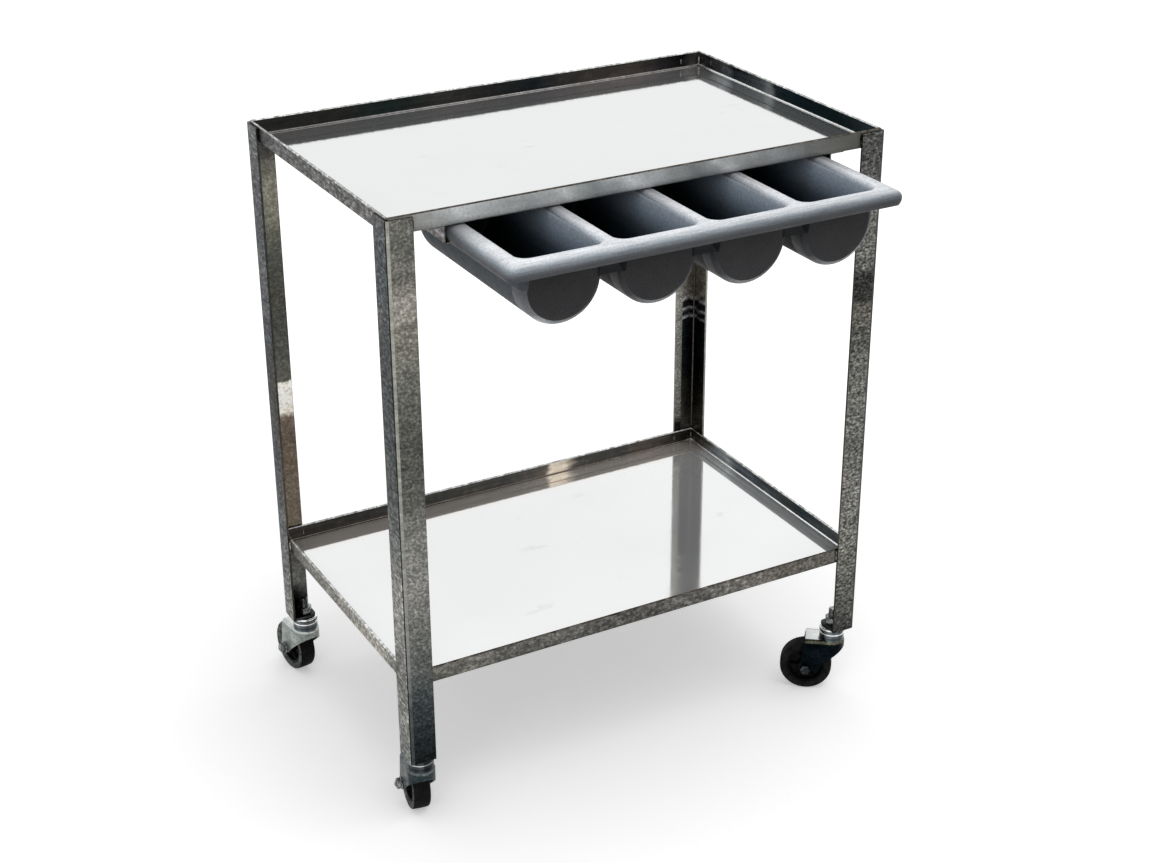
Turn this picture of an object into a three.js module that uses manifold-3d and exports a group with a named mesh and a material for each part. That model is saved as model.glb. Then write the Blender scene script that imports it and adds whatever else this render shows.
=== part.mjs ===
// A stainless serving trolley: two folded trays on four folded angle legs, a plastic cutlery bin that
// slides in runners under the upper tray, and four swivel castors. Millimetres, +Z up.
// While it is built, z = 0 is the floor and x = y = 0 the middle of the legs. At the end the whole
// trolley is shifted so that the middle of its box stands at the origin.
// +X is to the right, -Y is the front, where the bin comes out.

import * as THREE from 'three';
import { mergeVertices } from 'three/addons/utils/BufferGeometryUtils.js';
import Module from 'manifold-3d';

const wasm = await Module();
wasm.setup();

// Overall sizes
const overallLength = 700;
const overallDepth = 446;
const castorHeight = 104;
const legLength = 743;

// Clearances
const seatGap = 0.3;
const turningGap = 0.4;
const cutOverrun = 5;

// Legs
const legFlange = 35.5;
const legSheet = 3;
const legInnerBend = 2;

// Trays
const traySheet = 1.2;
const trayWallHeight = 23;
const trayBendRadius = 3;
const trayCornerRadius = 2.6;
const leastCornerRadius = 0.3;
const hemWidth = 3.2;
const hemDrop = 8;
const rimAboveLeg = 3;
const lowerRimHeight = 241.5;

// Bin runners
const runnerSheet = 1.5;
const runnerInnerBend = 1;
const runnerTopFlange = 20;
const runnerFootFlange = 14;
const runnerInset = 5;
const binSideClearance = 1;
const binTopClearance = 1.5;

// Cutlery bin
const binWidth = 540;
const binDepth = 330;
const binHeight = 92.5;
const binWall = 2.5;
const binPullOut = 150;
const lipHeight = 20;
const lipBand = 25;
const lipNoseDepth = 16;
const lipNoseHeight = 11;
const lipTuck = 3;
const lipCornerRadius = 10;
const cupCount = 4;
const cupPitch = 126.5;
const cupTopHalfWidth = 52.5;
const cupRadius = 49;
const cupBrimRadius = 8;
const cupTopCornerRadius = 12;
const cupLowCornerRadius = 5;
const cupEndDraft = 3.5;
const cupBottomFlat = 3;
const webDrop = 20;

// Castors
const castorAxisInset = 22;
const wheelRadius = 37.5;
const treadWidth = 25;
const trail = 35;
const crownRadius = 18;
const capSheet = 2;
const capBend = 4.5;
const capSkirt = 7;
const raceHeight = 8;
const ballRadius = 2.5;
const ballCircleRadius = 12.5;
const ballCount = 6;
const cageWidth = 1.6;
const stemRadius = 6;
const stemReach = 28;
const stemChamfer = 1.4;
const rivetRadius = 10;
const rivetHeight = 4;
const stemNutWidth = 19;
const stemNutHeight = 10;
const footPlateThickness = 4;
const footPlateCornerRadius = 8;

// Castor fork
const forkSheet = 2.5;
const forkGap = 33;
const forkInnerBend = 2.5;
const forkBack = 34;
const forkTopDrop = 19;
const forkFrontDrop = 31;
const forkEndRadius = 9;

// Wheel and axle
const tyreInnerRadius = 27.5;
const tyreShoulder = 4;
const hubRimWidth = 21;
const hubRimWall = 3.5;
const hubWebWidth = 9;
const hubBossRadius = 11;
const hubDishRadius = 15;
const hubSideClearance = 1;
const bushRadius = 6.2;
const axleRadius = 4;
const axleChamfer = 1;
const boltHeadWidth = 13;
const boltHeadHeight = 5.3;
const boltTail = 1.5;
const axleNutHeight = 6;
const nutFlangeRadius = 8.5;
const nutFlangeHeight = 1.6;

// Facets
const bendSteps = 3;
const hemSteps = 4;
const brimSteps = 3;
const noseSteps = 4;
const cornerSteps = 2;
const shoulderSteps = 2;
const cheekEndSteps = 5;
const forkFrontSteps = 3;
const boltFacets = 10;
const stemFacets = 12;
const crownFacets = 16;
const crownSteps = 2;
const wheelFacets = 22;
const cupSteps = 6;
const weldTolerance = 1e-4;

// Where each leg and its castor stand, the way the wheel trails in degrees from +X, and the side of
// the fork that its axle nut is on
const corners = [
  { name: 'front_left', sideX: -1, sideY: -1, swivel: 80, nutSide: 1 },
  { name: 'front_right', sideX: 1, sideY: -1, swivel: 143, nutSide: -1 },
  { name: 'rear_left', sideX: -1, sideY: 1, swivel: 98, nutSide: 1 },
  { name: 'rear_right', sideX: 1, sideY: 1, swivel: 118, nutSide: -1 },
];

// Finishes
const finishes = {
  trayFinish: { color: 0xd6d8d8, roughness: 0.16, metalness: 1 },
  legFinish: { color: 0x8f908c, roughness: 0.3, metalness: 1 },
  zincFinish: { color: 0xc4c8c6, roughness: 0.28, metalness: 1 },
  fastenerFinish: { color: 0xb4b8b8, roughness: 0.3, metalness: 1 },
  binFinish: { color: 0x9aa0a8, roughness: 0.5, metalness: 0 },
  tyreFinish: { color: 0x1b1c1c, roughness: 0.72, metalness: 0 },
  hubFinish: { color: 0x121314, roughness: 0.5, metalness: 0 },
};

function piece(name, geometry, finish) {
  const mesh = new THREE.Mesh(geometry, new THREE.MeshStandardMaterial(finishes[finish]));
  mesh.name = name;
  return mesh;
}

// Joining and cutting

function solidOf(geometry) {
  const bare = geometry.clone();
  bare.deleteAttribute('normal');
  bare.deleteAttribute('uv');
  const merged = mergeVertices(bare, weldTolerance);
  const index = merged.index.array;
  const triVerts = [];
  for (let k = 0; k < index.length; k += 3) {
    const [a, b, c] = [index[k], index[k + 1], index[k + 2]];
    if (a !== b && b !== c && c !== a) triVerts.push(a, b, c);
  }
  return new wasm.Manifold(new wasm.Mesh({
    numProp: 3,
    vertProperties: merged.attributes.position.array,
    triVerts: new Uint32Array(triVerts),
  }));
}

function geometryOf(solid) {
  const mesh = solid.getMesh();
  const geometry = new THREE.BufferGeometry();
  geometry.setAttribute('position', new THREE.BufferAttribute(new Float32Array(mesh.vertProperties), 3));
  geometry.setIndex(new THREE.BufferAttribute(new Uint32Array(mesh.triVerts), 1));
  geometry.computeVertexNormals();
  return geometry;
}

// Forms

// An outline of a rounded rectangle, anticlockwise, with the same number of points for any size.
function roundedOutline(halfX, halfY, radius, steps) {
  const points = [];
  for (let corner = 0; corner < 4; corner += 1) {
    const signX = corner === 0 || corner === 3 ? 1 : -1;
    const signY = corner < 2 ? 1 : -1;
    for (let k = 0; k <= steps; k += 1) {
      const angle = (corner + k / steps) * Math.PI / 2;
      points.push([
        signX * (halfX - radius) + radius * Math.cos(angle),
        signY * (halfY - radius) + radius * Math.sin(angle),
      ]);
    }
  }
  return points;
}

// A solid through a row of rounded rectangles, the first one closed underneath and the last one on top.
function loftedSolid(sections, steps) {
  const positions = [];
  for (const { halfX, halfY, radius, z } of sections) {
    for (const [x, y] of roundedOutline(halfX, halfY, radius, steps)) positions.push(x, y, z);
  }
  const count = 4 * (steps + 1);
  const under = sections.length * count;
  const over = under + 1;
  positions.push(0, 0, sections[0].z, 0, 0, sections[sections.length - 1].z);
  const faces = [];
  for (let k = 0; k < count; k += 1) {
    const next = (k + 1) % count;
    faces.push(under, next, k);
    for (let row = 0; row + 1 < sections.length; row += 1) {
      const [low, high] = [row * count, (row + 1) * count];
      faces.push(low + k, low + next, high + next, low + k, high + next, high + k);
    }
    faces.push(over, under - count + k, under - count + next);
  }
  const geometry = new THREE.BufferGeometry();
  geometry.setAttribute('position', new THREE.Float32BufferAttribute(positions, 3));
  geometry.setIndex(faces);
  return solidOf(geometry);
}

// A solid of revolution about Z. Its outline is a list of [radius, z].
function revolvedSolid(outline, facets) {
  const points = outline.map(([radius, z]) => new THREE.Vector2(radius, z));
  const geometry = new THREE.LatheGeometry(points, facets);
  geometry.rotateX(Math.PI / 2);
  return solidOf(geometry);
}

function extrudedSolid(shape, depth, curveSegments = bendSteps) {
  return solidOf(new THREE.ExtrudeGeometry(shape, { depth, bevelEnabled: false, curveSegments }));
}

function turned(solid, place) {
  const geometry = geometryOf(solid);
  geometry.applyMatrix4(place);
  return solidOf(geometry);
}

// The section of a folded strip of sheet: a line through its corners, filleted at each bend and
// given the sheet's thickness.
function foldedSection(line, sheet, innerBend) {
  const bend = innerBend + sheet / 2;
  const middle = [];
  line.forEach(([x, y], k) => {
    const here = new THREE.Vector2(x, y);
    if (k === 0 || k === line.length - 1) {
      const other = new THREE.Vector2(...line[k === 0 ? 1 : k - 1]);
      const along = other.sub(here).normalize().multiplyScalar(k === 0 ? 1 : -1);
      middle.push({ at: here, along });
      return;
    }
    const before = new THREE.Vector2(...line[k - 1]).sub(here).normalize();
    const after = new THREE.Vector2(...line[k + 1]).sub(here).normalize();
    const centre = here.clone().addScaledVector(before, bend).addScaledVector(after, bend);
    for (let step = 0; step <= bendSteps; step += 1) {
      const turn = (step / bendSteps) * Math.PI / 2;
      const out = after.clone().multiplyScalar(-Math.cos(turn)).addScaledVector(before, -Math.sin(turn));
      const along = before.clone().multiplyScalar(-Math.cos(turn)).addScaledVector(after, Math.sin(turn));
      middle.push({ at: centre.clone().addScaledVector(out, bend), along });
    }
  });
  const side = (sign) => middle.map(({ at, along }) => new THREE.Vector2(
    at.x - sign * along.y * sheet / 2,
    at.y + sign * along.x * sheet / 2,
  ));
  return new THREE.Shape([...side(1), ...side(-1).reverse()]);
}

function hexagon(acrossFlats) {
  const radius = acrossFlats / Math.sqrt(3);
  const points = [];
  for (let k = 0; k < 6; k += 1) {
    const angle = k * Math.PI / 3;
    points.push(new THREE.Vector2(radius * Math.cos(angle), radius * Math.sin(angle)));
  }
  return new THREE.Shape(points);
}

// A hexagon with its corners turned off at 30 degrees at both ends, from z = 0 to the height.
function hexagonHead(acrossFlats, height) {
  const flat = acrossFlats / 2;
  const corner = acrossFlats / Math.sqrt(3);
  const chamfer = (corner - flat) * Math.tan(Math.PI / 6);
  const turnedBlank = revolvedSolid([
    [0, 0], [flat, 0], [corner, chamfer], [corner, height - chamfer], [flat, height], [0, height],
  ], boltFacets);
  return extrudedSolid(hexagon(acrossFlats), height).intersect(turnedBlank);
}

// A bore about Z, long enough to cut through what lies between its two ends.
function bore(radius, low, high, facets) {
  return revolvedSolid([
    [0, low - cutOverrun], [radius, low - cutOverrun], [radius, high + cutOverrun], [0, high + cutOverrun],
  ], facets);
}

// The turn about Z that takes the rear right corner to a given corner.
function cornerTurn({ sideX, sideY }) {
  return Math.atan2(sideY, sideX) - Math.atan2(1, 1);
}

// Legs

function legAngle() {
  const reach = legFlange - legSheet / 2;
  const section = foldedSection([[-reach, 0], [0, 0], [0, -reach]], legSheet, legInnerBend);
  return geometryOf(extrudedSolid(section, legLength));
}

function makeLeg(corner) {
  const leg = piece(`leg_${corner.name}`, legAngle(), 'legFinish');
  leg.rotation.z = cornerTurn(corner);
  leg.position.set(
    corner.sideX * (overallLength - legSheet) / 2,
    corner.sideY * (overallDepth - legSheet) / 2,
    castorHeight,
  );
  return leg;
}

// Trays

function trayPan() {
  const halfX = overallLength / 2 - legSheet - seatGap;
  const halfY = overallDepth / 2 - legSheet - seatGap;
  const hemRadius = hemWidth / 2;
  const outline = [];
  const arc = (inset, z, radius, from, to, steps) => {
    for (let k = 0; k <= steps; k += 1) {
      const angle = from + (to - from) * k / steps;
      outline.push([inset - radius * Math.cos(angle), z + radius * Math.sin(angle)]);
    }
  };
  arc(trayBendRadius, trayBendRadius, trayBendRadius, -Math.PI / 2, 0, bendSteps);
  arc(hemRadius, trayWallHeight - hemRadius, hemRadius, 0, Math.PI, hemSteps);
  outline.push([hemWidth, trayWallHeight - hemDrop]);
  outline.push([traySheet, trayWallHeight - hemDrop]);
  arc(trayBendRadius, trayBendRadius, trayBendRadius - traySheet, 0, -Math.PI / 2, bendSteps);
  return geometryOf(loftedSolid(outline.map(([inset, z]) => ({
    halfX: halfX - inset,
    halfY: halfY - inset,
    radius: Math.max(trayCornerRadius - inset, leastCornerRadius),
    z,
  })), cornerSteps));
}

function makeTray(name, rimHeight) {
  const tray = piece(name, trayPan(), 'trayFinish');
  tray.position.z = rimHeight - trayWallHeight;
  return tray;
}

// Bin and its runners

const upperRimHeight = castorHeight + legLength + rimAboveLeg;
const trayUnderside = upperRimHeight - trayWallHeight;
const binTop = trayUnderside - binTopClearance;
const binY = binDepth / 2 - overallDepth / 2 - binPullOut;

function makeRunner(name, side) {
  const top = trayUnderside - seatGap - runnerSheet / 2;
  const foot = binTop - lipHeight - seatGap - runnerSheet / 2;
  const web = binWidth / 2 + binSideClearance + runnerSheet / 2;
  const length = overallDepth - 2 * (legSheet + seatGap + runnerInset);
  const section = foldedSection([
    [side * (web + runnerTopFlange), top],
    [side * web, top],
    [side * web, foot],
    [side * (web - runnerFootFlange), foot],
  ], runnerSheet, runnerInnerBend);
  const geometry = geometryOf(extrudedSolid(section, length));
  geometry.rotateX(Math.PI / 2);
  geometry.translate(0, length / 2, 0);
  return piece(name, geometry, 'trayFinish');
}

// The bin is modelled with its lip's top at z = 0. The deck and lip are one inverted tray.
function binDeck() {
  const [halfX, halfY] = [binWidth / 2, binDepth / 2];
  const outline = [[lipBand, -binWall], [lipNoseDepth, -binWall]];
  const innerNoseDepth = lipNoseDepth - binWall;
  for (let k = 1; k <= noseSteps; k += 1) {
    const angle = (k / noseSteps) * Math.PI / 2;
    outline.push([
      lipNoseDepth - innerNoseDepth * Math.sin(angle),
      -lipNoseHeight + (lipNoseHeight - binWall) * Math.cos(angle),
    ]);
  }
  outline.push([lipTuck + binWall, -lipHeight], [lipTuck, -lipHeight]);
  for (let k = 0; k <= noseSteps; k += 1) {
    const angle = (k / noseSteps) * Math.PI / 2;
    outline.push([
      lipNoseDepth * (1 - Math.cos(angle)),
      lipNoseHeight * (Math.sin(angle) - 1),
    ]);
  }
  outline.push([lipBand, 0]);
  return loftedSolid(outline.map(([inset, z]) => ({
    halfX: halfX - inset,
    halfY: halfY - inset,
    radius: Math.max(lipCornerRadius - inset, leastCornerRadius),
    z,
  })), cornerSteps);
}

// One trough, either its hollow (skin 0) or its outside (skin the wall): a round bottom, walls that
// lean out, end walls with draft, and a brim that rolls over into the deck.
function cupSolid(skin) {
  const endDraft = Math.tan(THREE.MathUtils.degToRad(cupEndDraft));
  const halfLength = binDepth / 2 - lipBand;
  const axisDepth = binHeight - binWall - cupRadius;
  const radius = cupRadius + skin;
  const bottom = -axisDepth - radius;
  const startAngle = Math.asin(cupBottomFlat / radius);
  const sections = [];
  const lengthAt = (z) => halfLength + skin + endDraft * Math.min(z + cupBrimRadius, 0);
  const addSection = (half, z, extra, corner) => {
    const below = cupLowCornerRadius - Math.min(z - bottom, cupLowCornerRadius);
    const rounding = cupLowCornerRadius - Math.sqrt(cupLowCornerRadius ** 2 - below ** 2);
    sections.push({
      halfX: half,
      halfY: lengthAt(z) + extra - rounding,
      radius: Math.min(corner, half - leastCornerRadius),
      z,
    });
  };
  for (let k = 0; k <= cupSteps; k += 1) {
    const angle = startAngle + (Math.PI / 2 - startAngle) * k / cupSteps;
    const z = -axisDepth - radius * Math.cos(angle);
    addSection(radius * Math.sin(angle), z, 0, cupLowCornerRadius + skin);
  }
  for (let k = 0; k <= brimSteps; k += 1) {
    const angle = (k / brimSteps) * Math.PI / 2;
    const brim = cupBrimRadius - skin;
    const flare = brim * (1 - Math.cos(angle));
    const z = -cupBrimRadius + brim * Math.sin(angle);
    addSection(cupTopHalfWidth + skin + flare, z, flare, cupTopCornerRadius + skin + flare);
  }
  if (skin === 0) {
    const top = sections[sections.length - 1];
    sections.push({ ...top, z: top.z + cutOverrun });
  }
  return loftedSolid(sections, cornerSteps);
}

function frontWeb() {
  const width = cupPitch - 2 * cupRadius;
  const height = lipHeight + webDrop - binWall / 2;
  const web = new THREE.BoxGeometry(width, binWall, height);
  const endDraft = Math.tan(THREE.MathUtils.degToRad(cupEndDraft));
  const face = binDepth / 2 - lipBand - endDraft * (lipHeight + webDrop - cupBrimRadius);
  web.translate(0, face + binWall / 2, -binWall / 2 - height / 2);
  return solidOf(web);
}

function makeBin() {
  const hollow = cupSolid(0);
  const outside = cupSolid(binWall);
  const web = frontWeb();
  let body = binDeck();
  for (let k = 0; k < cupCount; k += 1) {
    const x = (k - (cupCount - 1) / 2) * cupPitch;
    body = body.add(outside.translate([x, 0, 0]));
  }
  for (let k = 1; k < cupCount; k += 1) {
    const x = (k - cupCount / 2) * cupPitch;
    const rearWeb = web.translate([x, 0, 0]);
    body = body.add(rearWeb).add(rearWeb.mirror([0, 1, 0]));
  }
  for (let k = 0; k < cupCount; k += 1) {
    const x = (k - (cupCount - 1) / 2) * cupPitch;
    body = body.subtract(hollow.translate([x, 0, 0]));
  }
  const bin = piece('cutlery_bin', geometryOf(body), 'binFinish');
  bin.position.set(0, binY, binTop);
  return bin;
}

// Castors, each with z = 0 at the foot of its leg and its swivel axis at x = y = 0

function footPlate() {
  const near = castorAxisInset - legSheet - seatGap;
  const far = legFlange - castorAxisInset;
  const inBend = near - legInnerBend;
  const inCorner = footPlateCornerRadius - far;
  const shape = new THREE.Shape();
  shape.absarc(inBend, inBend, legInnerBend, 0, Math.PI / 2);
  shape.lineTo(-far, near);
  shape.absarc(inCorner, inCorner, footPlateCornerRadius, Math.PI, Math.PI * 1.5);
  shape.lineTo(near, -far);
  return geometryOf(extrudedSolid(shape, footPlateThickness).subtract(
    bore(stemRadius + seatGap, 0, footPlateThickness, stemFacets),
  ));
}

function castorStem() {
  const head = -raceHeight - forkSheet - seatGap;
  const foot = head - rivetHeight;
  return geometryOf(revolvedSolid([
    [0, foot], [rivetRadius - rivetHeight / 2, foot], [rivetRadius, foot + rivetHeight / 2],
    [rivetRadius, head], [stemRadius, head], [stemRadius, stemReach - stemChamfer],
    [stemRadius - stemChamfer, stemReach], [0, stemReach],
  ], stemFacets));
}

function stemNut() {
  const nut = hexagonHead(stemNutWidth, stemNutHeight);
  return geometryOf(nut.subtract(bore(stemRadius + seatGap, 0, stemNutHeight, stemFacets)));
}

function raceCap() {
  const hole = stemRadius + seatGap;
  const [top, skirt] = [-seatGap, -capSkirt];
  const outline = [
    [hole, top - capSheet], [crownRadius - capBend, top - capSheet], [crownRadius - capSheet, top - capBend],
    [crownRadius - capSheet, skirt], [crownRadius, skirt],
  ];
  for (let k = 0; k <= crownSteps; k += 1) {
    const angle = (k / crownSteps) * Math.PI / 2;
    outline.push([
      crownRadius - capBend * (1 - Math.cos(angle)),
      top - capBend * (1 - Math.sin(angle)),
    ]);
  }
  outline.push([hole, top], [hole, top - capSheet]);
  return geometryOf(revolvedSolid(outline, crownFacets));
}

// Balls in a cage between the cap and the fork. The cage has one side for each ball.
function ballRing() {
  const middle = (-seatGap - capSheet - raceHeight) / 2;
  const halfCage = cageWidth / 2;
  let ring = revolvedSolid([
    [ballCircleRadius - halfCage, middle - halfCage], [ballCircleRadius + halfCage, middle - halfCage],
    [ballCircleRadius + halfCage, middle + halfCage], [ballCircleRadius - halfCage, middle + halfCage],
    [ballCircleRadius - halfCage, middle - halfCage],
  ], ballCount);
  for (let k = 0; k < ballCount; k += 1) {
    const angle = k * 2 * Math.PI / ballCount;
    const ball = new THREE.IcosahedronGeometry(ballRadius);
    ball.translate(ballCircleRadius * Math.cos(angle), ballCircleRadius * Math.sin(angle), middle);
    ring = ring.add(solidOf(ball));
  }
  return geometryOf(ring);
}

const axleDrop = castorHeight - wheelRadius;
const forkHalfWidth = forkGap / 2 + forkSheet;

// The outline of the fork seen from the side, in the wheel's plane.
function cheekOutline() {
  const outline = new THREE.Shape();
  outline.moveTo(-forkHalfWidth - cutOverrun, 0);
  outline.lineTo(-forkHalfWidth - cutOverrun, -forkFrontDrop);
  outline.lineTo(-forkHalfWidth, -forkFrontDrop);
  const slope = Math.atan2(axleDrop - forkFrontDrop, trail + forkHalfWidth);
  outline.absarc(trail, -axleDrop, forkEndRadius, -Math.PI / 2 - slope, 0);
  outline.lineTo(forkBack, 0);
  return outline;
}

// A block with a half-round front and a rounded top edge, which runs on past the fork's back.
function forkBlock(inset, bend) {
  const [half, top] = [forkHalfWidth - inset, -forkTopDrop - inset];
  const reach = trail + forkEndRadius + cutOverrun + half;
  const halfLength = (half + reach) / 2;
  const low = -axleDrop - forkEndRadius - cutOverrun - inset;
  const sections = [{ halfX: halfLength, halfY: half, radius: half - leastCornerRadius, z: low }];
  for (let k = 0; k <= bendSteps; k += 1) {
    const angle = (k / bendSteps) * Math.PI / 2;
    const drawn = bend * (1 - Math.cos(angle));
    sections.push({
      halfX: halfLength - drawn,
      halfY: half - drawn,
      radius: half - drawn - leastCornerRadius,
      z: top - bend * (1 - Math.sin(angle)),
    });
  }
  return loftedSolid(sections, forkFrontSteps).translate([halfLength - half, 0, 0]);
}

// The pressed fork: a shell that wraps round the front of the wheel, trimmed to the outline of its
// side, with a round hollow crown raised on its top.
function castorFork() {
  const [crownTop, underside] = [-raceHeight, -forkTopDrop - forkSheet];
  const across = new THREE.Matrix4().makeRotationX(Math.PI / 2);
  const shell = forkBlock(0, forkInnerBend + forkSheet).subtract(forkBlock(forkSheet, forkInnerBend));
  const trimmer = turned(
    extrudedSolid(cheekOutline(), 2 * forkHalfWidth + 2 * cutOverrun, cheekEndSteps),
    across.clone().setPosition(0, forkHalfWidth + cutOverrun, 0),
  );
  const crown = revolvedSolid([
    [0, crownTop - forkSheet], [crownRadius - forkSheet, crownTop - forkSheet],
    [crownRadius - forkSheet, underside], [crownRadius, underside],
    [crownRadius, crownTop - forkInnerBend], [crownRadius - forkInnerBend, crownTop], [0, crownTop],
  ], crownFacets);
  const crownRoom = bore(crownRadius - forkSheet + seatGap, underside, -forkTopDrop, crownFacets);
  const stemHole = bore(stemRadius + turningGap, crownTop - forkSheet, crownTop, stemFacets);
  const axleHole = turned(bore(axleRadius + seatGap, -forkHalfWidth, forkHalfWidth, boltFacets), across)
    .translate([trail, 0, -axleDrop]);
  return geometryOf(
    shell.intersect(trimmer).subtract(crownRoom).add(crown).subtract(stemHole).subtract(axleHole),
  );
}

// Wheel pieces are revolved about Z and laid over, so that their nut end points along Y or -Y.
function laidOver(solid, nutSide) {
  const geometry = geometryOf(solid);
  geometry.rotateX(-nutSide * Math.PI / 2);
  geometry.translate(trail, 0, -axleDrop);
  return geometry;
}

function tyre() {
  const [half, shoulder] = [treadWidth / 2, tyreShoulder];
  const seat = hubRimWidth / 2;
  const outline = [[tyreInnerRadius + seatGap, -seat]];
  for (const side of [-1, 1]) {
    for (let k = 0; k <= shoulderSteps; k += 1) {
      const angle = ((side < 0 ? k : shoulderSteps - k) / shoulderSteps) * Math.PI / 2;
      outline.push([
        wheelRadius - shoulder + shoulder * Math.sin(angle),
        side * (half - shoulder + shoulder * Math.cos(angle)),
      ]);
    }
  }
  outline.push([tyreInnerRadius + seatGap, seat], outline[0]);
  return revolvedSolid(outline, wheelFacets);
}

function wheelHub() {
  const hole = bushRadius + seatGap;
  const boss = forkGap / 2 - hubSideClearance;
  const [rim, web] = [hubRimWidth / 2, hubWebWidth / 2];
  const half = [
    [hole, boss], [hubBossRadius, boss], [hubDishRadius, web], [tyreInnerRadius - hubRimWall, web],
    [tyreInnerRadius, rim],
  ];
  const mirrored = half.map(([radius, z]) => [radius, -z]);
  return revolvedSolid([...mirrored, ...half.reverse(), mirrored[0]], wheelFacets);
}

function axleBush() {
  const half = forkGap / 2 - seatGap;
  const [outer, inner] = [bushRadius, axleRadius + seatGap];
  return revolvedSolid([
    [inner, -half], [outer, -half], [outer, half], [inner, half], [inner, -half],
  ], boltFacets);
}

function axleBolt() {
  const seat = forkHalfWidth + seatGap;
  const tip = seat + nutFlangeHeight + axleNutHeight + boltTail;
  const root = -seat - boltHeadHeight / 2;
  const shank = revolvedSolid([
    [0, root], [axleRadius, root], [axleRadius, tip - axleChamfer], [axleRadius - axleChamfer, tip], [0, tip],
  ], boltFacets);
  const head = hexagonHead(boltHeadWidth, boltHeadHeight).translate([0, 0, -seat - boltHeadHeight]);
  return shank.add(head);
}

function axleNut() {
  const seat = forkHalfWidth + seatGap;
  const flange = revolvedSolid([
    [0, 0], [nutFlangeRadius, 0], [nutFlangeRadius, nutFlangeHeight / 2],
    [boltHeadWidth / 2, nutFlangeHeight], [0, nutFlangeHeight],
  ], boltFacets);
  const nut = hexagonHead(boltHeadWidth, axleNutHeight).translate([0, 0, nutFlangeHeight / 2]);
  const drilled = flange.add(nut).subtract(
    bore(axleRadius + seatGap, 0, axleNutHeight + nutFlangeHeight, boltFacets),
  );
  return drilled.translate([0, 0, seat]);
}

function makeCastor(corner) {
  const { name, swivel, nutSide } = corner;
  const castor = new THREE.Group();
  castor.position.set(
    corner.sideX * (overallLength / 2 - castorAxisInset),
    corner.sideY * (overallDepth / 2 - castorAxisInset),
    castorHeight,
  );
  const plate = piece(`foot_plate_${name}`, footPlate(), 'legFinish');
  plate.rotation.z = cornerTurn(corner);
  const nut = piece(`stem_nut_${name}`, stemNut(), 'fastenerFinish');
  nut.position.z = footPlateThickness + seatGap;
  castor.add(
    plate,
    piece(`castor_stem_${name}`, castorStem(), 'fastenerFinish'),
    nut,
    piece(`race_cap_${name}`, raceCap(), 'zincFinish'),
    piece(`ball_ring_${name}`, ballRing(), 'fastenerFinish'),
  );
  const swinging = new THREE.Group();
  swinging.rotation.z = THREE.MathUtils.degToRad(swivel);
  swinging.add(
    piece(`castor_fork_${name}`, castorFork(), 'zincFinish'),
    piece(`tyre_${name}`, laidOver(tyre(), nutSide), 'tyreFinish'),
    piece(`wheel_hub_${name}`, laidOver(wheelHub(), nutSide), 'hubFinish'),
    piece(`axle_bush_${name}`, laidOver(axleBush(), nutSide), 'fastenerFinish'),
    piece(`axle_bolt_${name}`, laidOver(axleBolt(), nutSide), 'fastenerFinish'),
    piece(`axle_nut_${name}`, laidOver(axleNut(), nutSide), 'fastenerFinish'),
  );
  castor.add(swinging);
  return castor;
}

// Assembly

const standing = new THREE.Group();
for (const corner of corners) standing.add(makeLeg(corner), makeCastor(corner));
standing.add(
  makeTray('upper_tray', upperRimHeight),
  makeTray('lower_tray', lowerRimHeight),
  makeRunner('bin_runner_left', -1),
  makeRunner('bin_runner_right', 1),
  makeBin(),
);

const envelope = new THREE.Box3().setFromObject(standing, true);
const middle = envelope.getCenter(new THREE.Vector3());
standing.position.set(-middle.x, -middle.y, -envelope.min.z);

const trolley = new THREE.Group();
trolley.add(standing);

export default trolley;
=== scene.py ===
import math

import bmesh
import bpy
import numpy as np
from mathutils import Matrix, Vector


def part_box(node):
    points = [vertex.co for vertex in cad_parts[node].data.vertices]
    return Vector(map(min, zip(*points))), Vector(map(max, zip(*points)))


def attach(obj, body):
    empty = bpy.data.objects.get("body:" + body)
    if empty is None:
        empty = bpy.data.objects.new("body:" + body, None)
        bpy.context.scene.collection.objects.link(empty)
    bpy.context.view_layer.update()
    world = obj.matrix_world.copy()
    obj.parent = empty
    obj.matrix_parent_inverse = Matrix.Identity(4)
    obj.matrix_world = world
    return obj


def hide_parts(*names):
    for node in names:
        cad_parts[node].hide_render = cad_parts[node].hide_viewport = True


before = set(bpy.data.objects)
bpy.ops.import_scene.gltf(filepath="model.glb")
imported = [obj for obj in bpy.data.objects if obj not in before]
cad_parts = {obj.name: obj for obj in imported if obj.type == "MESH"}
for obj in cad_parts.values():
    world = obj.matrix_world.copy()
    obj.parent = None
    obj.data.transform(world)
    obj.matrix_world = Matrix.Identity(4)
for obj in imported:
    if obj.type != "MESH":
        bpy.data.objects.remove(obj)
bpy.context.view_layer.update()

# A stainless serving trolley. Sizes are in millimetres, measured from the middle of the legs, with
# z = 0 on the floor, and become metres when a mesh is made.

MM = 0.001
X, Y, Z = range(3)
LENGTH, DEPTH = 700, 446
LEG_FOOT, LEG_TOP = 104, 847
LEG_FLANGE, LEG_SHEET, LEG_BEND, LEG_OUTER_BEND = 35.5, 3, 2, 5
GAP = 0.3
TRAY_SHEET, TRAY_WALL, TRAY_BEND = 1.2, 23, 3
TRAY_HALF = np.array([LENGTH, DEPTH]) / 2 - LEG_SHEET - GAP
TRAY_CORNER = 2.6
HEM_WIDTH, HEM_DROP = 3.2, 8
UPPER_RIM, LOWER_RIM = 850, 241.5
BIN_TOP, BIN_Y = 825.5, -208
BIN_HALF = (270, 165)
TROUGH_PITCH = 126.5
AXIS_INSET, TRAIL, AXLE_DROP = 22, 35, 66.5

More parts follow.
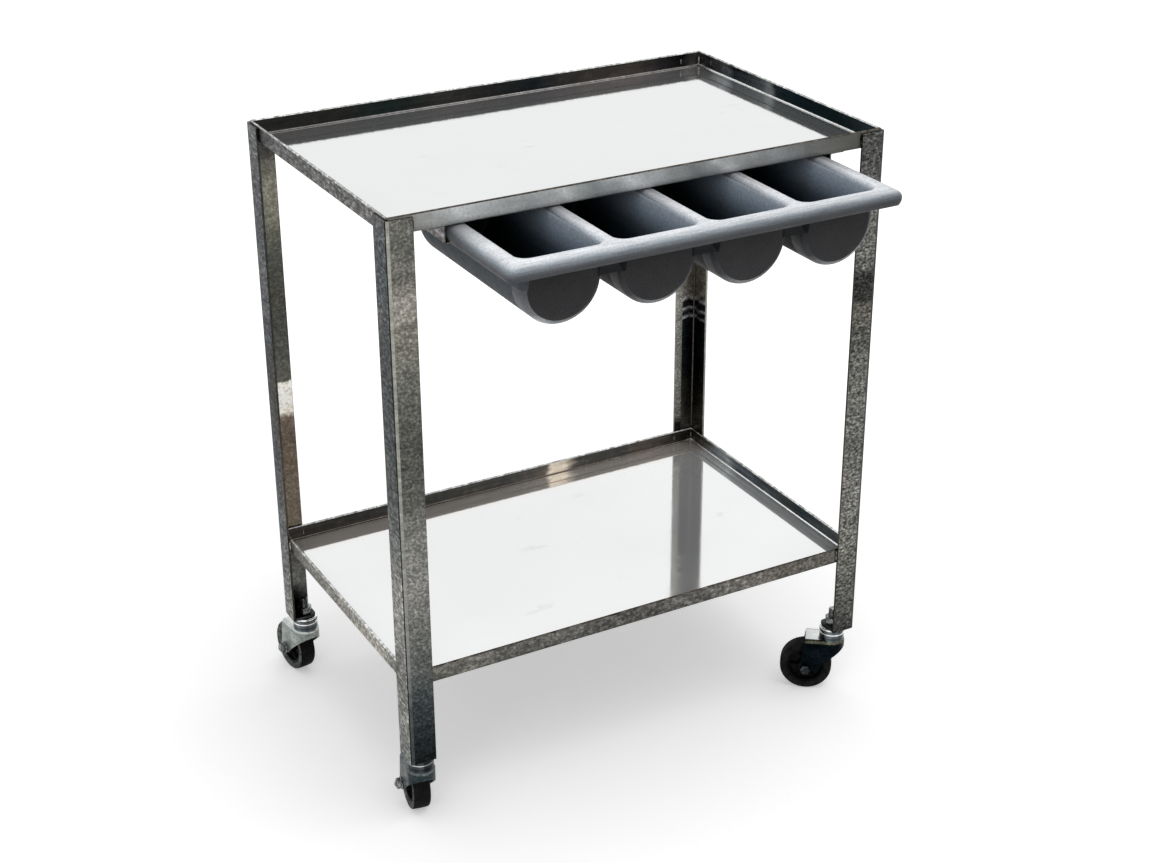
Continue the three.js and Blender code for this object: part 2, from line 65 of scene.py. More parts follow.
tray_low, tray_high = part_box("upper_tray")
middle = (np.array(tray_low) + np.array(tray_high)) / 2 * (1, 1, 0)

CORNERS = {
    "front_left": {"side": (-1, -1), "swivel": 80, "nut": 1},
    "front_right": {"side": (1, -1), "swivel": 143, "nut": -1},
    "rear_left": {"side": (-1, 1), "swivel": 98, "nut": 1},
    "rear_right": {"side": (1, 1), "swivel": 118, "nut": -1},
}


# Points and surfaces


def circle(steps):
    """Even angles round a whole turn, which do not repeat the first."""
    return np.linspace(0, 2 * np.pi, steps, endpoint=False)


def quarter(steps):
    """Even angles over a quarter turn, with both its ends."""
    return np.linspace(0, np.pi / 2, steps)


def spread(*parts):
    """Coordinates that broadcast together become one array of points."""
    return np.stack(np.broadcast_arrays(*parts), -1)


def polar(radius, angle, height):
    """Points at a radius and an angle about Z, at a height."""
    return spread(radius * np.cos(angle), radius * np.sin(angle), height)


class Surface:
    """The faces of one piece, gathered from grids of points and flat caps."""

    def __init__(self):
        self.points, self.faces, self.slots, self.count = [], [], [], 0

    def add(self, points, faces, slots):
        """Points join those already there, with the faces between them."""
        self.faces += [[self.count + point for point in face] for face in faces]
        self.slots += slots
        self.points.append(points)
        self.count += len(points)
        return self

    def grid(self, points, close_rows=False, close_columns=False, slot=0):
        """Each point of a rows by columns grid is joined to its neighbours by four-sided faces."""
        rows, columns = points.shape[:2]
        i = np.arange(rows if close_rows else rows - 1)[:, None]
        j = np.arange(columns if close_columns else columns - 1)[None, :]
        below, beside = (i + 1) % rows, (j + 1) % columns
        quads = spread(i * columns + j, i * columns + beside, below * columns + beside, below * columns + j)
        slots = np.broadcast_to(slot, quads.shape[:2])
        return self.add(points.reshape(-1, 3), quads.reshape(-1, 4).tolist(), slots.reshape(-1).tolist())

    def cap(self, ring, slot=0):
        """One flat face inside a ring of points."""
        return self.add(ring, [range(len(ring))], [slot])

    def join(self, other):
        """Another surface becomes part of this one."""
        return self.add(np.concatenate(other.points), other.faces, other.slots)

    def moved(self, place):
        """Every point is moved by a function that takes and returns an array of points."""
        self.points = [place(points) for points in self.points]
        return self


def placed(name, data):
    """A new object joins the scene."""
    made = bpy.data.objects.new(name, data)
    bpy.context.scene.collection.objects.link(made)
    return made


def make_piece(name, surface, finishes, body, slot, replaced=(), crease=35, sheet=None, edge=None):
    """A surface becomes a piece that rides on a body, in place of the solids that it replaces.

    Faces that meet at more than the crease's angle are shaded apart. A sheet is an open surface that
    is given a wall: how thick, on which side, and how many places further on in the list of finishes
    its far side finds its own. edge is the width of a bevel along the sharp edges.
    """
    mesh = bpy.data.meshes.new(name)
    mesh.from_pydata((np.concatenate(surface.points) * MM + middle).tolist(), [], surface.faces)
    mesh.polygons.foreach_set("material_index", surface.slots)
    shell = bmesh.new()
    shell.from_mesh(mesh)
    bmesh.ops.remove_doubles(shell, verts=shell.verts, dist=0.00001)
    bmesh.ops.recalc_face_normals(shell, faces=shell.faces)
    if sheet and sum(face.normal.z * face.calc_area() for face in shell.faces) < 0:
        bmesh.ops.reverse_faces(shell, faces=shell.faces)
    shell.to_mesh(mesh)
    shell.free()
    for finish in finishes:
        mesh.materials.append(finish)
    mesh.shade_smooth()
    mesh.set_sharp_from_angle(angle=math.radians(crease))
    piece = placed(name, mesh)
    if sheet:
        wall = piece.modifiers.new("wall", "SOLIDIFY")
        wall.thickness, wall.offset = sheet["wall"] * MM, sheet["offset"]
        wall.use_even_offset = wall.use_quality_normals = True
        wall.material_offset = sheet["under"]
    if edge:
        bevel = piece.modifiers.new("edge", "BEVEL")
        bevel.width, bevel.segments = edge * MM, 2
        bevel.limit_method, bevel.angle_limit = "ANGLE", math.radians(50)
    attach(piece, body)
    if replaced:
        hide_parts(*replaced)


def rounded(corners, radii, steps):
    """A polygon with its corners rounded by curves that leave each side at its radius.

    Returns the points and, for the step after each point, twice the corner's number on its curve or
    that plus one on the straight that follows it.
    """
    corners = np.array(corners, float)
    radii = np.broadcast_to(radii, len(corners))
    points, kinds = [], []
    for k, corner in enumerate(corners):
        if radii[k] <= 0:
            points.append(corner[None])
            kinds.append([2 * k + 1])
            continue
        before, after = corners[k - 1] - corner, corners[(k + 1) % len(corners)] - corner
        start = corner + before / np.linalg.norm(before) * radii[k]
        end = corner + after / np.linalg.norm(after) * radii[k]
        t = np.linspace(0, 1, steps + 1)[:, None]
        points.append((1 - t) ** 2 * start + 2 * t * (1 - t) * corner + t ** 2 * end)
        kinds.append([2 * k] * steps + [2 * k + 1])
    return np.concatenate(points), np.concatenate(kinds)


def carried(section, low, high, slot=0, along=Z):
    """A closed section is carried in a straight line along one axis, and closed flat at both ends."""
    rows = np.zeros((2, len(section), 3))
    rows[:, :, [axis for axis in (X, Y, Z) if axis != along]] = section
    rows[0, :, along], rows[1, :, along] = low, high
    return Surface().grid(rows, close_columns=True, slot=slot).cap(rows[0]).cap(rows[1])


def lathe(profile, steps, slot=0, close=True):
    """A profile of radius and height is turned about Z."""
    radius, height = np.array(profile, float).T[:, :, None]
    points = polar(radius, circle(steps), height)
    return Surface().grid(points, close_rows=close, close_columns=True, slot=slot)


def turned(corners, radii, steps, turns, close=True):
    """A polygon with its corners rounded is turned about Z."""
    return lathe(rounded(corners, radii, steps)[0], turns, close=close)


def rectangle_ring(half_x, half_y, radius, corner_steps, across=2, along=2):
    """A rounded rectangle, anticlockwise from the middle of its -Y side, as points in its plane."""
    x, y = half_x - radius, half_y - radius
    turn = np.linspace(0, np.pi / 2, corner_steps, endpoint=False)
    parts = []
    for start, end, steps in (
        ((0, -half_y), (x, -half_y), across // 2), ((x, -y), -np.pi / 2, None),
        ((half_x, -y), (half_x, y), along), ((x, y), 0, None),
        ((x, half_y), (-x, half_y), across), ((-x, y), np.pi / 2, None),
        ((-half_x, y), (-half_x, -y), along), ((-x, -y), np.pi, None),
        ((-x, -half_y), (0, -half_y), across // 2),
    ):
        if steps is None:
            parts.append(np.array(start) + radius * spread(np.cos(end + turn), np.sin(end + turn)))
        else:
            t = np.linspace(0, 1, steps, endpoint=False)[:, None]
            parts.append(np.array(start) * (1 - t) + np.array(end) * t)
    return np.concatenate(parts)


def to_corner(corner, swinging):
    """Takes points from a castor's own axes to its corner of the trolley, turned if they swing."""
    angle = math.radians(corner["swivel"]) if swinging else 0
    cos, sin = math.cos(angle), math.sin(angle)
    turn = np.array([[cos, sin, 0], [-sin, cos, 0], [0, 0, 1]])
    side_x, side_y = corner["side"]
    place = np.array([side_x * (LENGTH / 2 - AXIS_INSET), side_y * (DEPTH / 2 - AXIS_INSET), LEG_FOOT])
    return lambda points: points @ turn + place


def to_axle(nut_side):
    """Takes points from a wheel's own axes, with its axle along Z, to the castor's axes."""
    turn = np.array([[1, 0, 0], [0, 0, -nut_side], [0, nut_side, 0]])
    return lambda points: points @ turn + (TRAIL, 0, -AXLE_DROP)


# Materials

SPANS = [
    (middle[X] - LENGTH / 2 * MM, middle[X] + LENGTH / 2 * MM),
    (middle[Y] - DEPTH / 2 * MM, middle[Y] + DEPTH / 2 * MM),
    (LEG_FOOT * MM, LEG_TOP * MM),
]
BRUSHED = [(14, 900, 900), (900, 14, 900), (900, 900, 14)]


def shade(red, green, blue):
    """A screen colour from 0 to 255 as the shader's own values."""
    values = np.array([red, green, blue]) / 255
    values = np.where(values <= 0.04045, values / 12.92, ((values + 0.055) / 1.055) ** 2.4)
    return (*values.tolist(), 1)


class Finish:
    """A material under construction. Most of its methods add nodes and return the output to use."""

    def __init__(self, name, **constants):
        self.material = bpy.data.materials.new(name)
        self.material.use_nodes = True
        self.tree = self.material.node_tree
        self.tree.nodes.clear()
        self.shader = self.node("BsdfPrincipled").node
        for socket, value in constants.items():
            self.shader.inputs[socket.replace("_", " ")].default_value = value
        end = self.tree.nodes.new("ShaderNodeOutputMaterial")
        self.tree.links.new(self.shader.outputs[0], end.inputs[0])
        self.place = self.node("TexCoord", output="Object")

    def feed(self, socket, value):
        if isinstance(value, bpy.types.NodeSocket):
            self.tree.links.new(value, socket)
        else:
            socket.default_value = value

    def node(self, kind, inputs=None, output=0, **settings):
        made = self.tree.nodes.new("ShaderNode" + kind)
        for key, value in settings.items():
            setattr(made, key, value)
        for socket, value in (inputs or {}).items():
            self.feed(made.inputs[socket], value)
        return made.outputs[output]

    def noise(self, scale, detail=2, rough=0.5):
        """A soft noise. Three scales squeeze it by a different amount along each axis."""
        place = self.place
        if isinstance(scale, tuple):
            place = self.node("VectorMath", {0: place, 1: scale}, operation="MULTIPLY")
            scale = 1
        facts = {"Vector": place, "Scale": scale, "Detail": detail, "Roughness": rough}
        return self.node("TexNoise", facts, "Fac")

    def axis(self, index):
        return self.node("SeparateXYZ", {0: self.place}, index)

    def fit(self, value, low, high, to=(0, 1)):
        """The range from low to high becomes the range to."""
        facts = {"Value": value, "From Min": low, "From Max": high, "To Min": to[0], "To Max": to[1]}
        return self.node("MapRange", facts)

    def clouds(self, scale, detail=2, rough=0.5, to=(0, 1), low=0.3, high=0.7):
        """A noise whose middle values are drawn out to a range."""
        return self.fit(self.noise(scale, detail, rough), low, high, to)

    def math(self, operation, first, second=0.0):
        return self.node("Math", {0: first, 1: second}, operation=operation)

    def times(self, first, *others):
        for other in others:
            first = self.math("MULTIPLY", first, other)
        return first

    def mix(self, factor, first, second):
        return self.node("Mix", {0: factor, 6: first, 7: second}, 2, data_type="RGBA")

    def tones(self, value, stops):
        """A scale of tones. Each stop is a place from 0 to 1 and a screen colour."""
        made = self.node("ValToRGB", {0: value})
        elements = made.node.color_ramp.elements
        while len(elements) < len(stops):
            elements.new(1)
        for element, (place, *tint) in zip(elements, stops):
            element.position = place
            element.color = shade(*tint)
        return made

    def scaled(self, tint, *amounts):
        """A colour made stronger or weaker by the product of the amounts."""
        return self.node("VectorMath", {0: tint, "Scale": self.times(*amounts)}, operation="SCALE")

    def bump(self, height, strength, distance):
        made = self.node("Bump", {"Strength": strength, "Distance": distance, "Height": height})
        self.feed(self.shader.inputs["Normal"], made)

    def done(self, colour, roughness):
        self.feed(self.shader.inputs["Base Color"], colour)
        self.feed(self.shader.inputs["Roughness"], roughness)
        return self.material


def bright_steel(name, axis, stops, wander=0.03, wander_scale=(16, 16, 9), grain=(260, 260, 420),
                 speckle=(0.7, 1.7), soft=((30, 30, 70), (0.84, 1.16)), streaks=((34, 34, 150), (0.8, 1.2)),
                 roughness=(0.22, 0.38), brushed=None):
    """Bright sheet whose colour is a painted reflection of mottled surroundings.

    Its tone follows one axis from low to high, pushed about by a soft noise. Fine flecks, of which few
    are bright, soft clouds and wide flat streaks then scale it, as painted reflections. Brush marks
    run along the axis.
    """
    made = Finish(name, Metallic=1.0, Specular_Tint=(0.58, 0.58, 0.58, 1))
    push = made.clouds(wander_scale, 3, 0.55, (-wander, wander))
    along = made.math("ADD", made.fit(made.axis(axis), *SPANS[axis]), push)
    flecks = made.math("POWER", made.clouds(grain, 3, 0.7), 2.0)
    mottle = made.clouds(soft[0], 3, 0.55, soft[1])
    bands = made.clouds(streaks[0], 3, 0.6, streaks[1])
    made.bump(made.noise(brushed or BRUSHED[axis], 4, 0.7), 0.12, 0.0004)
    tint = made.scaled(made.tones(along, stops), mottle, bands, made.fit(flecks, 0, 1, speckle))
    return made.done(tint, made.clouds(60, 3, 0.6, roughness))


# Leg finishes. Their tones up the leg are painted reflections of the surroundings, with painted highlights
# and painted shade, each set for one face of some of the legs.
leg_front = bright_steel("leg_front_steel", Z, [
    (0, 28, 32, 33), (0.06, 42, 47, 49), (0.136, 65, 70, 72), (0.2, 98, 101, 98), (0.25, 106, 108, 104),
    (0.32, 126, 125, 121), (0.4, 129, 128, 124), (0.48, 105, 105, 101), (0.56, 83, 84, 80),
    (0.64, 80, 81, 76), (0.72, 94, 96, 89), (0.8, 123, 120, 112), (0.856, 143, 139, 132),
    (0.9, 106, 104, 98), (0.96, 98, 98, 93), (1, 108, 107, 102),
], wander=0.02, grain=(230, 230, 270), speckle=(0.55, 2.15), soft=((24, 24, 60), (0.8, 1.2)))
leg_right_front = bright_steel("leg_right_front_steel", Z, [
    (0, 68, 68, 67), (0.09, 98, 98, 94), (0.17, 114, 114, 108), (0.3, 119, 118, 114), (0.4, 99, 99, 96),
    (0.5, 104, 105, 100), (0.58, 98, 98, 94), (0.605, 84, 84, 80), (0.632, 80, 80, 76), (0.64, 96, 94, 88),
    (0.675, 92, 90, 84), (0.684, 52, 52, 50), (0.735, 52, 53, 51), (0.757, 94, 94, 91),
    (0.85, 110, 109, 105), (0.92, 88, 88, 86), (1, 82, 82, 80),
], wander=0.006, grain=(190, 190, 280), speckle=(0.2, 3.1), streaks=((50, 50, 200), (0.68, 1.32)))
leg_side = bright_steel("leg_side_steel", Z, [
    (0, 150, 152, 149), (0.09, 168, 168, 163), (0.136, 140, 141, 136), (0.24, 155, 155, 152),
    (0.32, 172, 170, 164), (0.4, 130, 132, 129), (0.48, 99, 101, 101), (0.56, 85, 88, 87),
    (0.64, 79, 81, 83), (0.8, 80, 83, 84), (0.86, 94, 95, 97), (0.91, 80, 86, 88), (1, 102, 103, 105),
], grain=(140, 140, 240), speckle=(0.42, 2.5), streaks=((50, 50, 200), (0.72, 1.28)))
leg_rear_side = bright_steel("leg_rear_side_steel", Z, [
    (0, 158, 158, 155), (0.05, 150, 150, 147), (0.13, 122, 123, 122), (0.24, 100, 104, 104),
    (0.32, 78, 80, 83), (0.5, 68, 68, 64), (0.56, 66, 68, 71), (0.64, 86, 88, 91), (0.72, 102, 104, 104),
    (0.8, 88, 92, 95), (0.9, 100, 101, 104), (1, 118, 120, 119),
], grain=(140, 140, 230), speckle=(0.38, 2.65), streaks=((50, 50, 200), (0.7, 1.3)))
# The inner faces' warm tones are painted reflections, and the near-white band part way up is a painted
# reflection of a bright patch.
leg_inner_warm = bright_steel("leg_inner_warm_steel", Z, [
    (0, 50, 54, 54), (0.03, 66, 68, 67), (0.062, 130, 130, 126), (0.11, 104, 104, 101),
    (0.2, 110, 101, 88), (0.37, 108, 96, 84), (0.42, 118, 106, 94), (0.431, 255, 246, 228),
    (0.455, 255, 249, 236), (0.488, 255, 249, 236), (0.492, 98, 96, 90), (0.52, 90, 90, 85),
    (0.587, 72, 73, 69), (0.668, 70, 69, 64), (0.748, 74, 75, 70), (0.829, 112, 111, 99),
    (0.883, 119, 117, 106), (0.937, 66, 65, 62), (1, 76, 76, 74),
], wander=0.004, wander_scale=(40, 40, 12), speckle=(0.7, 1.8), grain=(220, 220, 240),
    soft=((40, 40, 40), (0.88, 1.12)), streaks=((60, 60, 190), (0.9, 1.1)))
# The far leg's inner faces are near black as painted shade, crossed by thin painted highlights.
leg_inner_shaded = bright_steel("leg_inner_shaded_steel", Z, [
    (0, 90, 86, 82), (0.2, 90, 87, 80), (0.25, 56, 54, 50), (0.33, 26, 28, 28), (0.438, 26, 32, 34),
    (0.442, 196, 198, 198), (0.446, 30, 34, 38), (0.456, 26, 30, 34), (0.46, 186, 186, 184),
    (0.464, 34, 34, 36), (0.477, 34, 34, 36), (0.482, 200, 198, 192), (0.488, 116, 113, 107),
    (0.7, 118, 114, 108), (1, 110, 107, 102),
], wander=0.003, wander_scale=(50, 50, 6), speckle=(0.6, 2.2))
leg_inner_strip = bright_steel("leg_inner_strip_steel", Z, [
    (0, 46, 45, 42), (0.2, 46, 45, 42), (0.215, 112, 110, 104), (0.3, 114, 114, 109), (0.4, 118, 118, 113),
    (0.49, 132, 131, 124), (0.56, 110, 108, 102), (0.65, 74, 72, 68), (1, 70, 68, 64),
], wander=0.004, speckle=(0.5, 2.3), streaks=((20, 20, 160), (0.7, 1.3)))
# The left legs' bend is light and the right legs' dark, as painted light and shade.
leg_bend = bright_steel("leg_bend_steel", Z, [
    (0, 66, 70, 70), (0.12, 82, 86, 86), (0.22, 134, 134, 132), (0.6, 144, 144, 136), (1, 152, 152, 144),
], speckle=(0.85, 1.3))
leg_right_bend = bright_steel("leg_right_bend_steel", Z, [
    (0, 70, 72, 70), (0.3, 84, 85, 82), (0.7, 66, 67, 65), (1, 76, 76, 74),
], speckle=(0.85, 1.3))
leg_edge = bright_steel("leg_edge_steel", Z, [
    (0, 66, 62, 56), (0.3, 86, 76, 66), (0.6, 52, 52, 50), (1, 58, 58, 56),
], speckle=(0.7, 1.7))
# The dark band on the outer bend is painted shade.
leg_bend_shade = bright_steel("leg_bend_shade_steel", Z, [
    (0, 26, 28, 28), (0.4, 44, 46, 46), (1, 34, 36, 36),
], speckle=(0.7, 1.5))
leg_inner_bend = bright_steel("leg_inner_bend_steel", Z, [
    (0, 70, 66, 58), (0.35, 88, 82, 76), (0.44, 84, 74, 72), (0.5, 76, 72, 66), (1, 86, 82, 74),
], speckle=(0.8, 1.4))
# The aprons' tones along their length are painted reflections, the light ones painted highlights.
apron_side = bright_steel("apron_side_steel", Y, [
    (0, 124, 121, 120), (0.3, 114, 114, 112), (0.6, 114, 114, 113), (0.8, 104, 105, 104), (1, 84, 86, 88),
], grain=(200, 110, 220), speckle=(0.35, 2.7), streaks=((120, 34, 120), (0.8, 1.2)))
apron_low_side = bright_steel("apron_low_side_steel", Y, [
    (0, 140, 140, 134), (0.12, 162, 161, 154), (0.23, 202, 198, 190), (0.35, 188, 184, 176),
    (0.5, 164, 162, 154), (0.8, 138, 137, 129), (0.9, 104, 104, 100), (1, 92, 92, 88),
], grain=(220, 160, 220), speckle=(0.45, 2.4), streaks=((120, 34, 120), (0.78, 1.22)))
apron_lower = bright_steel("apron_lower_steel", X, [
    (0, 102, 102, 97), (0.14, 112, 111, 105), (0.2, 103, 102, 98), (0.33, 102, 101, 97), (0.4, 93, 92, 89),
    (0.53, 93, 92, 89), (0.66, 108, 106, 102), (0.76, 112, 109, 103), (0.85, 100, 97, 91), (1, 94, 92, 86),
], grain=(200, 220, 240), speckle=(0.5, 2.3), soft=((60, 60, 60), (0.84, 1.16)),
    streaks=((34, 120, 120), (0.75, 1.25)))
# The trays' inner walls: dark tones crossed by light lines, all painted reflections; the pale patch on the
# lower back wall is a painted reflection of something bright.
wall_look = {"wander": 0.012, "wander_scale": (14, 14, 60), "grain": (90, 90, 90), "speckle": (1.0, 1.5),
             "soft": ((10, 10, 60), (0.9, 1.1))}
wall_upper_back = bright_steel("wall_upper_back_steel", X, [
    (0, 38, 38, 37), (0.2, 37, 38, 35), (0.26, 25, 34, 33), (0.33, 28, 34, 32), (0.4, 45, 45, 43),
    (0.5, 36, 37, 36), (0.6, 27, 31, 34), (0.68, 47, 46, 44), (0.83, 62, 57, 53), (0.9, 42, 42, 43),
    (0.95, 28, 29, 30), (0.98, 96, 94, 90), (1, 60, 58, 56),
], streaks=((9, 9, 260), (0.8, 1.2)), **wall_look)
wall_lower_back = bright_steel("wall_lower_back_steel", X, [
    (0, 46, 45, 43), (0.18, 50, 49, 48), (0.36, 57, 58, 57), (0.44, 66, 66, 64), (0.52, 64, 65, 64),
    (0.6, 86, 84, 81), (0.622, 104, 98, 92), (0.634, 242, 233, 217), (0.668, 228, 219, 203),
    (0.684, 140, 136, 128), (0.694, 84, 84, 82), (0.8, 66, 67, 67), (0.87, 80, 75, 69), (0.94, 50, 49, 46),
    (1, 44, 42, 40),
], streaks=((9, 9, 260), (0.8, 1.2)), **wall_look)
wall_upper_right = bright_steel("wall_upper_right_steel", Y, [
    (0, 34, 42, 45), (0.12, 24, 32, 35), (0.2, 8, 20, 22), (0.38, 8, 20, 25), (0.5, 16, 28, 32),
    (0.54, 30, 35, 38), (0.57, 108, 112, 114), (0.62, 70, 74, 76), (0.7, 46, 50, 54), (0.78, 36, 43, 48),
    (0.84, 116, 120, 122), (0.93, 74, 74, 76), (1, 84, 84, 84),
], streaks=((9, 9, 260), (0.7, 1.3)), **wall_look)
wall_lower_right = bright_steel("wall_lower_right_steel", Y, [
    (0, 62, 68, 69), (0.2, 56, 60, 61), (0.3, 40, 48, 52), (0.4, 56, 60, 61), (0.6, 60, 65, 69),
    (0.7, 72, 75, 80), (0.75, 118, 122, 124), (0.84, 90, 92, 94), (0.93, 94, 94, 90), (1, 76, 76, 73),
], streaks=((12, 12, 260), (0.5, 1.5)), **wall_look)
# Each fold turns white at its right end as a painted highlight.
upper_fold = bright_steel("upper_fold_steel", X, [
    (0, 130, 128, 126), (0.45, 168, 166, 164), (0.975, 150, 148, 144), (0.985, 255, 255, 255),
], wander=0, speckle=(0.8, 1.5), brushed=BRUSHED[Z])
lower_fold = bright_steel("lower_fold_steel", X, [
    (0, 112, 106, 100), (0.975, 126, 118, 110), (0.985, 255, 255, 255),
], wander=0, speckle=(0.8, 1.5), brushed=BRUSHED[Z])
# The hem's pale tone is a painted highlight; along the front it is darker.
hem_steel = bright_steel("hem_steel", Y, [
    (0, 84, 80, 74), (0.012, 96, 90, 84), (0.03, 216, 218, 216), (0.9, 196, 198, 194), (1, 226, 228, 226),
], wander=0, speckle=(0.5, 1.9), grain=(120, 120, 120), soft=((90, 90, 1), (0.55, 1.45)),
    brushed=BRUSHED[Z])
underside = bright_steel("underside_steel", X, [
    (0, 120, 122, 120), (1, 142, 143, 140),
], speckle=(0.92, 1.2), grain=(40, 40, 40), roughness=(0.32, 0.45))


def slanted_apron_finish():
    """Satin steel with soft bright patches that lean across it: painted reflections of the bin's dividers.

    The tone follows the length plus the height, so each painted patch leans back as it rises, and it
    darkens on the tray's lower bend as painted shade.
    """
    made = Finish("apron_upper_steel", Metallic=0.12)
    push = made.clouds((40, 40, 30), to=(-0.007, 0.007))
    leaning = made.math("ADD", made.math("ADD", made.axis(X), made.axis(Z)), push)
    low = middle[X] + (BIN_TOP - LENGTH / 2) * MM
    tint = made.tones(made.fit(leaning, low, low + LENGTH * MM), [
        (0.03, 112, 111, 106), (0.1, 158, 160, 158), (0.14, 182, 185, 185), (0.161, 218, 221, 222),
        (0.19, 208, 211, 212), (0.225, 204, 207, 208), (0.29, 184, 187, 188), (0.33, 196, 199, 200),
        (0.354, 222, 225, 226), (0.385, 178, 182, 183), (0.418, 160, 166, 168), (0.45, 184, 188, 190),
        (0.482, 222, 225, 227), (0.512, 196, 199, 201), (0.546, 190, 194, 195), (0.61, 136, 140, 141),
        (0.65, 168, 171, 172), (0.675, 214, 216, 217), (0.7, 180, 183, 184), (0.74, 168, 171, 172),
        (0.803, 152, 156, 158), (0.86, 110, 111, 109), (0.93, 78, 78, 73), (0.98, 70, 70, 65),
    ])
    bend_low, bend_high = (UPPER_RIM - TRAY_WALL + 0.5) * MM, (UPPER_RIM - 15) * MM
    apron_bend_shade = made.fit(made.axis(Z), bend_low, bend_high, (0.55, 1))
    levels = made.clouds(300, 2, 0.6, (0.84, 1.16)), made.clouds((40, 40, 70), to=(0.88, 1.12)), apron_bend_shade
    made.bump(made.noise(BRUSHED[X], 3, 0.6), 0.1, 0.0004)
    return made.done(made.scaled(tint, *levels), made.clouds(25, to=(0.3, 0.45)))


def tray_floor(name, metallic, tone, warm):
    """A polished tray floor: nearly a mirror, a little hazy, with faint smudges wiped one way.

    Its colour turns to the warm tone close to the back wall.
    """
    made = Finish(name, Metallic=metallic)
    cloud = made.clouds(6, 3, 0.6, low=0.35, high=0.75)
    smudge = made.clouds((13, 22, 5), 4, 0.65, low=0.64, high=0.8)
    near_back = made.fit(made.axis(Y), middle[Y] + 0.172, middle[Y] + 0.186)
    tint = made.mix(cloud, shade(*tone), shade(*(level - 3 for level in tone)))
    tint = made.mix(made.times(smudge, 0.5), tint, shade(206, 207, 209))
    made.bump(made.noise((7, 420, 420)), 0.03, 0.0002)
    return made.done(made.mix(near_back, tint, shade(*warm)), made.clouds(18, 3, 0.6, (0.035, 0.075)))


def zinc(name, dark, light, roughness=(0.2, 0.34)):
    """Zinc plate whose two tones are painted reflections, highlights and shade, set for each part: a
    crystalline mottle between them, with cloudy patches where it turns lighter.
    """
    made = Finish(name, Metallic=1.0)
    flakes = made.clouds(420, 3, 0.65, low=0.34, high=0.66)
    tint = made.mix(made.times(flakes, made.clouds(48, 3, 0.55)), shade(*dark), shade(*light))
    made.bump(flakes, 0.08, 0.0003)
    return made.done(tint, made.clouds(90, to=roughness))


def swivel_head_finish(name, strength):
    """Turned zinc rings: painted highlights in broken arcs along each rim, and painted dark reflections
    between them.

    The tone follows the height from the head's lowest edge to the leg's foot.
    """
    made = Finish(name, Metallic=1.0)
    height = made.fit(made.axis(Z), (LEG_FOOT - 22) * MM, LEG_FOOT * MM)
    tint = made.tones(made.math("ADD", height, made.clouds((120, 120, 10), to=(-0.01, 0.01))), [
        (0.02, 150, 155, 152), (0.09, 76, 84, 86), (0.3, 52, 58, 62), (0.44, 90, 96, 98),
        (0.51, 40, 44, 46), (0.56, 232, 234, 232), (0.62, 214, 216, 214), (0.65, 16, 18, 18),
        (0.7, 128, 132, 132), (0.76, 52, 58, 60), (0.87, 92, 98, 98), (0.93, 240, 242, 240),
    ])
    arcs = made.clouds((70, 70, 8), to=(0.3 * strength, 1.25 * strength), low=0.36, high=0.64)
    flakes = made.noise(420, 2, 0.6)
    made.bump(flakes, 0.05, 0.0003)
    return made.done(made.scaled(tint, made.fit(flakes, 0.3, 0.7, (0.8, 1.2)), arcs), 0.22)


def weld_finish(name, tones):
    """A welded seam: dull ripples with straw and blue heat tints that drift along it."""
    made = Finish(name, Metallic=1.0)
    made.bump(made.noise(500), 0.3, 0.0004)
    return made.done(made.tones(made.clouds(160), tones), made.clouds(200, to=(0.3, 0.5)))


def leathery(made, tint, *levels, depth=0.25):
    """Moulded plastic's last steps: a fine leather grain and a cloudy gloss."""
    made.bump(made.noise(900, 3, 0.6), depth, 0.0003)
    return made.done(made.scaled(tint, *levels), made.clouds(60, 3, to=(0.42, 0.55)))


def tray_shadow(made, least):
    """A painted shadow of the tray: 1 at the bin's front, falling to the least where the tray covers it."""
    return made.fit(made.axis(Y), middle[Y] - 0.3, middle[Y] - 0.225, (1, least))


def moulded(name, stops, specular=0.3, lit_flanks=1, shadow_least=1):
    """Moulded plastic whose tone follows the bin's height as painted light and shade, with pores and a
    cloudy wear.

    Its colour is lit_flanks times as strong on the bin's two outer flanks, as painted light. A painted
    shadow of the tray brings it down from the bin's front to the part given last, where the tray
    covers it.
    """
    made = Finish(name, Specular_IOR_Level=specular)
    tint = made.tones(made.fit(made.axis(Z), (BIN_TOP - 92.5) * MM, BIN_TOP * MM), stops)
    levels = [made.clouds(26, 4, 0.6, (0.9, 1.1)), made.clouds(420, 2, 0.6, (0.78, 1.22))]
    if lit_flanks != 1:
        out = made.math("ABSOLUTE", made.math("SUBTRACT", made.axis(X), middle[X]))
        levels.append(made.fit(out, 0.2, 0.24, (1, lit_flanks)))
    if shadow_least != 1:
        levels.append(tray_shadow(made, shadow_least))
    return leathery(made, tint, *levels)


def trough_finish():
    """The troughs' insides: near black as painted shade, and lighter high up towards each trough's right
    wall as painted light.
    """
    made = Finish("bin_trough_plastic", Specular_IOR_Level=0.2)
    reach = 2 * TROUGH_PITCH * MM
    turns = made.fit(made.axis(X), middle[X] - reach, middle[X] + reach, (0, 4))
    across = made.fit(made.math("FRACT", turns), 0.42, 0.93)
    high = made.fit(made.axis(Z), (BIN_TOP - 74) * MM, (BIN_TOP - 6) * MM)
    tint = made.tones(made.math("POWER", made.times(across, high), 1.3), [
        (0, 7, 9, 11), (0.15, 36, 44, 52), (0.3, 72, 82, 93), (0.7, 142, 156, 172), (1, 176, 186, 198),
    ])
    return leathery(made, tint, made.clouds(300, 3, 0.6, (0.8, 1.2)))


